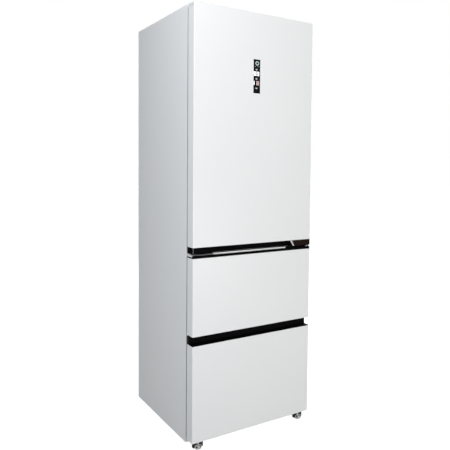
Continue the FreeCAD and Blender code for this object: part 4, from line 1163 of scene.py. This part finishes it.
@dataclass
class Display:
    """Black glass in the door with lit signs: two temperatures, a sign for each space and a button ring.

    A flake has its bars' length and width, a shelf the length and rise of each bar, and a ring its outer and
    inner radius.
    """

    body: str = "door"
    sink: float = 0.3 * MM
    glass_soften: float = 0.25 * MM
    sign_thick: float = 0.12 * MM
    digit_width: float = 12.5 * MM
    digit_height: float = 17.5 * MM
    stroke: float = 3.9 * MM
    stroke_past: float = 3.51 * MM
    flake: Point = (10.0 * MM, 2.2 * MM)
    flake_bars: int = 3
    shelf: tuple[Point, ...] = ((11.0 * MM, 1.4 * MM), (6.5 * MM, -1.4 * MM))
    shelf_thick: float = 2.4 * MM
    dot: float = 2.4 * MM
    ring: Point = (9.0 * MM, 5.0 * MM)
    ring_steps: int = 32

    def __post_init__(self) -> None:
        """Find the glass, and the middle and face that its signs are placed from."""
        self.low, self.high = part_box("display_panel")
        self.low.x -= DISPLAY_WIDER
        self.face = self.low.y + self.sink
        self.middle = (self.low.x + self.high.x) / 2

    def build(self) -> None:
        """Build the glass and the signs on it."""
        glass = Shape().block((self.low.x, self.face, self.low.z), self.high)
        glass.settle("display_glass", self.body, DISPLAY_BLACK, "display_panel", soften=self.glass_soften)
        for name, finish, signs in SIGNS:
            self._signs(name, finish, signs)

    def _signs(self, name: str, finish: Finish, signs: Sequence[Sign]) -> None:
        """Build lit signs of one colour.

        Args:
            name: The piece's name.
            finish: How they look.
            signs: The signs.
        """
        shape = Shape()
        for sign in signs:
            centre = (sign.across * MM, self.high.z - sign.drop * MM)
            if sign.glyph is Glyph.RING:
                self._ring(shape, centre)
            elif sign.glyph is Glyph.DOT:
                self._bar(shape, centre, self.dot, self.dot)
            elif sign.glyph is Glyph.SHELF:
                for length, rise in self.shelf:
                    self._bar(shape, (centre[0], centre[1] + rise), length, self.shelf_thick)
            elif sign.glyph is Glyph.FLAKE:
                for turn in range(self.flake_bars):
                    self._bar(shape, centre, *self.flake, turn * math.pi / self.flake_bars)
            else:
                self._digit(shape, sign.digit, centre)
        shape.settle(name, self.body, finish)

    def _bar(self, shape: Shape, centre: Point, length: float, thick: float, turn: float = 0.0) -> None:
        """Add one stroke of a sign.

        Args:
            shape: The mesh that gets it.
            centre: Its middle, across and up.
            length: Its length.
            thick: Its width.
            turn: Its angle from level.
        """
        flat = Shape()
        flat.block((-length / 2, -self.sign_thick, -thick / 2), (length / 2, 0.0, thick / 2))
        place = Matrix.Translation((self.middle + centre[0], self.face, centre[1]))
        bmesh.ops.transform(flat.bm, matrix=place @ Matrix.Rotation(turn, 4, "Y"), verts=flat.bm.verts)
        shape.absorb(flat)

    def _ring(self, shape: Shape, centre: Point) -> None:
        """Add a button's ring.

        Args:
            shape: The mesh that gets it.
            centre: Its middle, across and up.
        """
        outer, inner = self.ring
        profile = ((inner, 0.0), (inner, -self.sign_thick), (outer, -self.sign_thick), (outer, 0.0),
                   (inner, 0.0))
        place = (self.middle + centre[0], self.face, centre[1])
        shape.absorb(Shape().lathe(Axis.Y, profile, place, self.ring_steps))

    def _digit(self, shape: Shape, digit: int, centre: Point) -> None:
        """Add one digit of up to seven strokes.

        Args:
            shape: The mesh that gets it.
            digit: Which one.
            centre: Its middle, across and up.
        """
        wide = (self.digit_width - self.stroke) / 2
        tall = (self.digit_height - self.stroke) / 4
        for stroke in DIGIT_STROKES[digit]:
            across, up, upright = STROKE_SPOTS[stroke]
            length = (2 * tall if upright else 2 * wide) + self.stroke_past
            spot = (centre[0] + across * wide, centre[1] + up * tall)
            self._bar(shape, spot, length, self.stroke, math.pi / 2 * upright)


@dataclass
class Feet:
    """Levelling feet at the front: grey thumb wheels on steel stems, in black forked brackets.

    The profiles of a wheel and of its sockets are pairs of radius and place along the axis, in millimetres.
    """

    wheel: tuple[Point, ...] = ((0.0, 0.0), (12.2, 0.0), (13.2, 0.7), (13.6, 1.8), (14.2, 2.8), (15.4, 4.0),
                                (16.0, 5.2), (16.0, 15.4), (15.2, 16.3), (10.5, 16.6), (9.5, 16.9),
                                (0.0, 16.9))
    wheel_steps: int = 80
    scallops: int = 10
    scallop: float = 0.07
    rim_from: float = 15.0 * MM
    sockets: int = 5
    socket_level: float = 12.2 * MM
    socket: tuple[Point, ...] = ((0.0, -13.0), (3.6, -13.0), (3.6, -15.9), (3.2, -16.2), (0.0, -16.2))
    socket_steps: int = 16
    socket_turn: float = math.radians(-44.0)
    stem_radius: float = 5.0 * MM
    thread_deep: float = 0.7 * MM
    thread_pitch: float = 1.6 * MM
    stem_low: float = 14.0 * MM
    stem_steps: int = 24
    plate: float = 3.0 * MM
    notch_half: float = 8.0 * MM
    fork_half: float = 23.0 * MM
    fork_ahead: float = 2.0 * MM
    fork_behind: float = 9.0 * MM
    bridge_from: float = 6.0 * MM
    hook_low: float = 5.0 * MM
    hook_wide: float = 6.2 * MM
    tail_half: float = 20.0 * MM
    nose_round: float = 6.0 * MM
    hook_round: float = 3.0 * MM
    soften: float = 0.8 * MM

    def build(self) -> None:
        """Build both feet and their brackets."""
        for side in Side:
            self._foot(side.value)
        self._brackets()

    def _foot(self, side: str) -> None:
        """Build one scalloped thumb wheel, black discs on its rim whose black paints the shade of socket
        holes, and its threaded stem.

        Args:
            side: The side that it stands on.
        """
        node = f"levelling_foot_{side}"
        low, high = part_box(node)
        centre = Vector(((low.x + high.x) / 2, (low.y + high.y) / 2, low.z))
        wheel = Shape().lathe(Axis.Z, in_mm(self.wheel), centre, self.wheel_steps)
        for vert in wheel.bm.verts:
            arm = vert.co - centre
            if math.hypot(arm.x, arm.y) > self.rim_from:
                wave = (1.0 + math.cos(self.scallops * math.atan2(arm.y, arm.x))) / 2
                keep = 1.0 - self.scallop * wave
                vert.co = centre + Vector((arm.x * keep, arm.y * keep, arm.z))
        wheel.settle(f"foot_wheel_{side}", f"foot_{side}", FOOT_GREY, node)

        # Black discs on the rim stand for socket holes: their black is painted shade
        sockets = Shape()
        for turn in range(self.sockets):
            level = centre + Vector((0.0, 0.0, self.socket_level))
            one = Shape().lathe(Axis.Y, in_mm(self.socket), level, self.socket_steps)
            round_to = Matrix.Rotation(self.socket_turn + math.tau * turn / self.sockets, 3, "Z")
            bmesh.ops.rotate(one.bm, verts=one.bm.verts, cent=centre, matrix=round_to)
            sockets.absorb(one)
        sockets.settle(f"foot_sockets_{side}", f"foot_{side}", BLACK_MATTE)

        turns = int((high.z - low.z - self.stem_low) / self.thread_pitch)
        thread = [(0.0, self.stem_low)]
        for turn in range(turns):
            level = self.stem_low + turn * self.thread_pitch
            thread.append((self.stem_radius - self.thread_deep, level))
            thread.append((self.stem_radius, level + self.thread_pitch / 2))
        thread.append((self.stem_radius - self.thread_deep, high.z - low.z))
        thread.append((0.0, high.z - low.z))
        stem = Shape().lathe(Axis.Z, thread, centre, self.stem_steps)
        stem.settle(f"foot_stem_{side}", f"foot_{side}", SCREW_STEEL)

    def _brackets(self) -> None:
        """Black brackets: two hooked prongs round each stem, the bridge behind them and a tail plate."""
        low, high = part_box("foot_brackets")
        foot_low, foot_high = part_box("levelling_foot_right")
        middle = (foot_low + foot_high) / 2
        front = middle.y - self.fork_ahead
        rear = middle.y + self.fork_behind
        bridge = middle.y + self.bridge_from
        shape = Shape()
        for side in (-1, 1):
            tip = middle.x + self.fork_half * side
            hook = tip - self.hook_wide * side
            root = middle.x + self.notch_half * side
            outline = ((root, high.z), (tip, high.z), (tip, self.hook_low), (hook, self.hook_low),
                       (hook, low.z), (root, low.z))
            prong = Shape().prism(Axis.Y, outline, front, rear)
            prong.round(prong.edges(Axis.Y, z=self.hook_low), self.hook_round)
            prong.round(prong.edges(Axis.Z, x=tip, y=front), self.nose_round)
            shape.absorb(prong)
        shape.block((middle.x - self.fork_half + self.soften, bridge, low.z),
                    (middle.x + self.fork_half - self.soften, rear - self.soften, high.z - self.soften))
        shape.block((middle.x - self.tail_half, bridge + self.soften, high.z - self.plate - self.soften / 2),
                    (middle.x + self.tail_half, high.y, high.z - self.soften / 2))
        shape.mirror()
        shape.settle("foot_forks", "cabinet", BLACK_MATTE, "foot_brackets", soften=self.soften)


@dataclass
class DoorInside:
    """Inner liner of the door with its raised frame and ledges, and the three bins.

    The profile of the raised frame is pairs of inset and height, in millimetres.
    """

    body: str = "door"
    bins: tuple[str, ...] = ("door_bin_upper", "door_bin_middle", "door_bin_lower")
    sheet_round: float = 1.2 * MM
    dyke_half: float = 235.0 * MM
    dyke_low: float = 852.0 * MM
    dyke_high: float = 1728.0 * MM
    dyke_profile: tuple[Point, ...] = ((0.0, -0.5), (1.0, 30.0), (2.5, 55.0), (4.5, 59.0), (7.0, 60.0),
                                       (11.0, 60.0), (13.5, 59.0), (15.5, 55.0), (17.0, 30.0), (18.0, -0.5))
    dyke_wide: float = 18.0 * MM
    ledge_reach: float = 12.0 * MM
    ledge_deep: float = 46.0 * MM
    ledge_height: float = 8.0 * MM
    ledge_sunk: float = 0.5 * MM
    liner_sheet: float = 2.0 * MM
    bin_round: float = 14.0 * MM
    bin_wall: float = 2.5 * MM
    bin_rim: float = 1.5 * MM
    bin_rim_drop: float = 8.0 * MM

    def build(self) -> None:
        """Build the liner and the bins."""
        self._liner()
        for node in self.bins:
            low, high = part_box(node)
            shape = Shape().block(low, high).open_top(high.z, self.bin_round)
            shape.rim(self.bin_rim, self.bin_rim_drop)
            shape.settle(f"{node}_tub", self.body, CLEAR_PLASTIC, node, shell=self.bin_wall)

    def _liner(self) -> None:
        """Sheet, raised frame and ledges."""
        low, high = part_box("door_liner")
        face = low.y + self.liner_sheet
        shape = Shape().block(low, (high.x, face, high.z))
        shape.moulding(Vector((-self.dyke_half, face, self.dyke_low)),
                       Vector((self.dyke_half, face, self.dyke_high)), in_mm(self.dyke_profile))
        outer = self.dyke_half - self.dyke_wide / 2
        inner = self.dyke_half - self.dyke_wide - self.ledge_reach
        for node in self.bins:
            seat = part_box(node)[0].z
            for start, end in ((inner, outer), (-outer, -inner)):
                shape.block((start, face - self.ledge_sunk, seat - self.ledge_height),
                            (end, face + self.ledge_deep, seat))
        shape.settle("door_inner_liner", self.body, LINER_WHITE, "door_liner", soften=self.sheet_round)


@dataclass
class FridgeInside:
    """Shelf trims, crispers, air duct cover and lamp of the fridge space."""

    body: str = "cabinet"
    trim_ahead: float = 8.0 * MM
    trim_bite: float = 8.0 * MM
    trim_rear_past: float = 4.0 * MM
    trim_above: float = 6.0 * MM
    trim_below: float = 4.0 * MM
    trim_nose: float = 4.0 * MM
    trim_soften: float = 0.7 * MM
    crisper_round: float = 16.0 * MM
    crisper_wall: float = 2.5 * MM
    crisper_pull: float = 10.0 * MM
    crisper_rim: float = 0.8 * MM
    crisper_rim_drop: float = 6.0 * MM
    pull_half: float = 60.0 * MM
    pull_thick: float = 3.0 * MM
    pull_drop: float = 14.0 * MM
    duct_round: float = 8.0 * MM
    outlets: int = 4
    outlet_half: float = 60.0 * MM
    outlet_height: float = 9.0 * MM
    outlet_deep: float = 8.0 * MM
    outlet_first: float = 120.0 * MM
    outlet_pitch: float = 184.0 * MM
    slat_pitch: float = 15.0 * MM
    slat_thick: float = 1.6 * MM
    lamp_frame: float = 4.0 * MM
    lamp_sink: float = 1.5 * MM
    lens_gap: float = 0.375 * MM
    lens_low: float = 0.5 * MM
    lens_high: float = 3.0 * MM
    soften: float = 0.8 * MM

    def build(self) -> None:
        """Build every fitting."""
        self._shelf_trims()
        for side in Side:
            self._crisper(side.value)
        self._duct()
        self._lamp()

    def _shelf_trims(self) -> None:
        """Slotted trims on the front and rear edges of the glass shelves."""
        shape = Shape()
        for node in ("crisper_lid", "shelf_glass_1", "shelf_glass_2", "shelf_glass_3"):
            low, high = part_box(node)
            bottom, top = low.z - self.trim_below, high.z + self.trim_above
            nose, bite = low.y - self.trim_ahead, low.y + self.trim_bite
            front = ((bite, bottom), (nose + self.trim_nose, bottom), (nose, low.z), (nose, high.z),
                     (nose + self.trim_nose, top), (bite, top), (bite, high.z), (low.y, high.z),
                     (low.y, low.z), (bite, low.z))
            bite, past = high.y - self.trim_bite, high.y + self.trim_rear_past
            rear = ((bite, bottom), (past, bottom), (past, top), (bite, top), (bite, high.z),
                    (high.y, high.z), (high.y, low.z), (bite, low.z))
            for outline in (front, rear):
                shape.prism(Axis.X, outline, low.x, high.x)
        shape.settle("shelf_edge_trims", self.body, WHITE_PLASTIC, "shelf_trims", soften=self.trim_soften)

    def _crisper(self, side: str) -> None:
        """Build one clear drawer with a turned rim and a hooked pull.

        Args:
            side: The side that it is on.
        """
        node = f"crisper_{side}"
        low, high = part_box(node)
        front = low.y + self.crisper_pull
        shape = Shape().block((low.x, front, low.z), high).open_top(high.z, self.crisper_round)
        shape.rim(self.crisper_rim, self.crisper_rim_drop)
        shape.settle(f"{node}_tub", self.body, CLEAR_PLASTIC, node, shell=self.crisper_wall)
        middle = (low.x + high.x) / 2
        top = high.z
        outline = ((front, top), (low.y, top), (low.y, top - self.pull_drop),
                   (low.y + self.pull_thick, top - self.pull_drop),
                   (low.y + self.pull_thick, top - self.pull_thick), (front, top - self.pull_thick))
        pull = Shape().prism(Axis.X, outline, middle - self.pull_half, middle + self.pull_half)
        pull.settle(f"{node}_pull", self.body, CLEAR_PLASTIC, soften=self.soften)

    def _duct(self) -> None:
        """Air duct cover with slatted outlets."""
        low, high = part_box("air_duct_cover")
        shape = Shape().block(low, high)
        shape.round(shape.edges(Axis.Z, y=low.y), self.duct_round)
        slats = Shape()
        for index in range(self.outlets):
            start = low.z + self.outlet_first + self.outlet_pitch * index
            mouth = shape.patch(Axis.Y, low.y, (-self.outlet_half, start),
                                (self.outlet_half, start + self.outlet_height))
            shape.push(mouth, (0.0, self.outlet_deep, 0.0))
            count = int(2 * self.outlet_half / self.slat_pitch)
            for step in range(1, count):
                x = -self.outlet_half + step * self.slat_pitch
                slats.block((x - self.slat_thick / 2, low.y + self.slat_thick, start - self.slat_thick),
                            (x + self.slat_thick / 2, low.y + self.outlet_deep + self.slat_thick,
                             start + self.outlet_height + self.slat_thick))
        shape.settle("air_duct_front", self.body, WHITE_PLASTIC, "air_duct_cover", soften=self.soften)
        slats.settle("air_duct_slats", self.body, WHITE_PLASTIC)

    def _lamp(self) -> None:
        """Ceiling lamp: a lens in a slim frame."""
        low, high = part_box("ceiling_lamp")
        frame_shape = Shape().block(low, high)
        edge = self.lamp_frame
        mouth = frame_shape.patch(Axis.Z, low.z, (low.x + edge, low.y + edge), (high.x - edge, high.y - edge))
        frame_shape.push(mouth, (0.0, 0.0, self.lamp_sink))
        frame_shape.settle("lamp_frame", self.body, WHITE_PLASTIC, soften=self.soften)
        inset = edge + self.lens_gap
        lens = Shape().block((low.x + inset, low.y + inset, low.z + self.lens_low),
                             (high.x - inset, high.y - inset, low.z + self.lens_high))
        lens.settle("lamp_lens", self.body, LAMP_LENS, "ceiling_lamp", soften=self.soften / 2)


@dataclass
class Rear:
    """Screws that hold the back panel and the machine cover.

    The profile of a head is pairs of radius and height, in millimetres. A panel has its node, its rows and
    columns of screws, and how far its screwed face lies before its rearmost one.
    """

    body: str = "cabinet"
    head: tuple[Point, ...] = ((0.0, 2.2), (0.9, 2.2), (1.1, 1.2), (1.6, 2.0), (2.6, 1.7), (3.4, 0.9),
                               (3.6, 0.6), (5.0, 0.5), (5.0, -0.2), (0.0, -0.2))
    head_steps: int = 20
    margin: float = 14.0 * MM
    panels: tuple[tuple[str, int, int, float], ...] = (("back_panel", 5, 3, 3.0 * MM),
                                                       ("machine_cover", 2, 5, 2.2 * MM))

    def build(self) -> None:
        """Build all the screw heads as one piece, in rows and columns along the edges of each panel."""
        shape = Shape()
        for node, rows, columns, step in self.panels:
            low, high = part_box(node)
            for row in range(rows):
                for column in range(columns):
                    if row in (0, rows - 1) or column in (0, columns - 1):
                        spot = (self._place(low.x, high.x, column, columns), high.y - step,
                                self._place(low.z, high.z, row, rows))
                        shape.lathe(Axis.Y, in_mm(self.head), spot, self.head_steps)
        shape.settle("rear_screws", self.body, SCREW_STEEL)

    def _place(self, low: float, high: float, index: int, count: int) -> float:
        """One of a row of evenly spread places between two edges, with a margin at both."""
        return low + self.margin + (high - low - 2 * self.margin) * index / (count - 1)


# Colours of light
WHITE: Colour = (1.0, 1.0, 1.0)
WARM: Colour = (1.0, 0.99, 0.97)
COOL: Colour = (0.94, 0.97, 1.0)


@dataclass
class Lamp:
    """One soft studio lamp, aimed at a point."""

    name: str
    place: Spot
    target: Spot
    width: float
    height: float
    power: float
    colour: Colour = WHITE

    def build(self) -> None:
        """Add the lamp to the scene."""
        light = bpy.data.lights.new(self.name, "AREA")
        light.color = self.colour
        light.shape = "RECTANGLE"
        light.size = self.width
        light.size_y = self.height
        light.energy = self.power
        lamp = bpy.data.objects.new(self.name, light)
        lamp.location = self.place
        lamp.rotation_euler = (Vector(self.target) - lamp.location).to_track_quat("-Z", "Y").to_euler()
        bpy.context.scene.collection.objects.link(lamp)


@dataclass
class Stage:
    """Pale floor, white surroundings, soft lamps and the camera."""

    floor_half: float = 30.0
    floor_colour: Colour = (0.55, 0.55, 0.55)
    floor_bounce: Colour = (0.10, 0.10, 0.105)
    floor_white: float = 0.99
    ambient: Colour = (0.97, 0.985, 1.0)
    ambient_strength: float = 0.08
    eye: Spot = (-1.2637, -2.1370, 1.1436)
    yaw: float = math.radians(31.988)
    pitch: float = math.radians(-2.559)
    roll: float = math.radians(0.485)
    sensor: float = 36.0
    image_width: float = 450.0
    focal_pixels: float = 531.85
    axis_right_of_middle: float = 9.5
    axis_above_middle: float = 32.9
    lamps: tuple[Lamp, ...] = (
        Lamp("front_right_softbox", (2.2, -3.6, 1.9), (0.0, 0.0, 1.0), 2.0, 2.0, 25.0, WARM),
        Lamp("front_top_panel", (0.1, -1.6, 2.5), (0.0, -0.285, 1.75), 1.0, 0.4, 6.7, WARM),
        Lamp("front_level_panel", (0.3, -2.6, 0.4), (0.0, -0.285, 0.25), 1.8, 0.6, 26.0, WARM),
        Lamp("left_edge_panel", (-1.3, -1.0, 2.4), (-0.3, -0.25, 1.4), 0.6, 0.9, 16.4, COOL),
        Lamp("left_middle_panel", (-2.1, -1.1, 0.8), (-0.3, -0.25, 0.8), 0.7, 0.9, 17.7, COOL),
        Lamp("right_softbox", (3.6, 1.2, 2.2), (0.3, 0.0, 0.9), 1.8, 1.8, 46.0),
        Lamp("rear_softbox", (1.2, 3.8, 2.2), (0.0, 0.0, 1.0), 2.4, 2.2, 54.0),
    )

    def build(self) -> None:
        """Add everything round the object."""
        self._surroundings()
        self._floor()
        self._camera()
        for lamp in self.lamps:
            lamp.build()

    @staticmethod
    def _show(nodes: Nodes, lighting: object, seen: object, output: str) -> None:
        """End a tree with one shader for rays that only light things and another for rays that show it.

        Args:
            nodes: The tree.
            lighting: The shader for rays that only light things.
            seen: The shader for rays that show it: straight, mirrored or through glass.
            output: The name of the tree's output node.
        """
        path = nodes.add("ShaderNodeLightPath", {}).outputs
        shows = path["Is Camera Ray"]
        for ray in ("Is Glossy Ray", "Is Transmission Ray"):
            shows = nodes.sum("MAXIMUM", shows, path[ray])
        mix = nodes.add("ShaderNodeMixShader", {0: shows, 1: lighting, 2: seen})
        nodes.feed(nodes.tree.nodes[output], {"Surface": mix.outputs["Shader"]})

    def _surroundings(self) -> None:
        """White where it is seen, a plain level where it lights."""
        world = bpy.data.worlds.new("studio")
        world.use_nodes = True
        bpy.context.scene.world = world
        nodes = Nodes(world.node_tree)
        light = nodes.feed(world.node_tree.nodes["Background"],
                           {"Color": (*self.ambient, 1.0), "Strength": self.ambient_strength})
        white = nodes.add("ShaderNodeBackground", {"Color": (*WHITE, 1.0), "Strength": 1.0})
        self._show(nodes, light.outputs["Background"], white.outputs["Background"], "World Output")

    def _floor(self) -> None:
        """A pale floor that looks white and keeps the object's soft shadow."""
        bm = bmesh.new()
        bmesh.ops.create_grid(bm, x_segments=1, y_segments=1, size=self.floor_half)
        mesh = bpy.data.meshes.new("floor")
        bm.to_mesh(mesh)
        bm.free()
        floor = bpy.data.objects.new("floor", mesh)
        bpy.context.scene.collection.objects.link(floor)
        made = bpy.data.materials.new("pale_floor")
        made.use_nodes = True
        made.node_tree.nodes.remove(made.node_tree.nodes["Principled BSDF"])
        nodes = Nodes(made.node_tree)
        bounce = nodes.add("ShaderNodeBsdfDiffuse", {"Color": (*self.floor_bounce, 1.0)})
        matt = nodes.add("ShaderNodeBsdfDiffuse", {"Color": (*self.floor_colour, 1.0)})
        white = nodes.add("ShaderNodeEmission", {"Strength": self.floor_white})
        both = nodes.add("ShaderNodeAddShader", {0: matt.outputs["BSDF"], 1: white.outputs["Emission"]})
        self._show(nodes, bounce.outputs["BSDF"], both.outputs["Shader"], "Material Output")
        mesh.materials.append(made)

    def _camera(self) -> None:
        """The photograph's viewpoint."""
        level = math.cos(self.pitch)
        forward = Vector((math.sin(self.yaw) * level, math.cos(self.yaw) * level, math.sin(self.pitch)))
        flat_right = Vector((math.cos(self.yaw), -math.sin(self.yaw), 0.0))
        flat_up = flat_right.cross(forward)
        right = flat_right * math.cos(self.roll) + flat_up * math.sin(self.roll)
        up = right.cross(forward)
        data = bpy.data.cameras.new("camera")
        data.sensor_width = self.sensor
        data.lens = self.focal_pixels / self.image_width * self.sensor
        data.shift_x = -self.axis_right_of_middle / self.image_width
        data.shift_y = -self.axis_above_middle / self.image_width
        camera = bpy.data.objects.new("camera", data)
        turn = Matrix((right, up, -forward)).transposed().to_4x4()
        camera.matrix_world = Matrix.Translation(self.eye) @ turn
        bpy.context.scene.collection.objects.link(camera)
        bpy.context.scene.camera = camera


def dress_nodes() -> None:
    """Give every CAD node that still shows the finish of its own slot."""
    for subpart in frame["record"]["subparts"]:
        node = frame["nodes"][subpart["node"]]
        finish = FINISHES[subpart["material_slot"]]
        for slot in node.material_slots:
            slot.material = finish.material()
        if not node.material_slots:
            node.data.materials.append(finish.material())


def main() -> None:
    """Build the stage and every piece, in order."""
    logging.basicConfig(level=logging.INFO, format="%(message)s")
    bpy.context.scene.view_settings.view_transform = "Standard"
    Stage().build()
    dress_nodes()
    for assembly in (Door(), GripEdges(), Display(), MiddleDrawer(), LowerDrawer(), Feet(), DoorInside(),
                     FridgeInside(), Rear()):
        assembly.build()


if __name__ == "__main__":
    main()
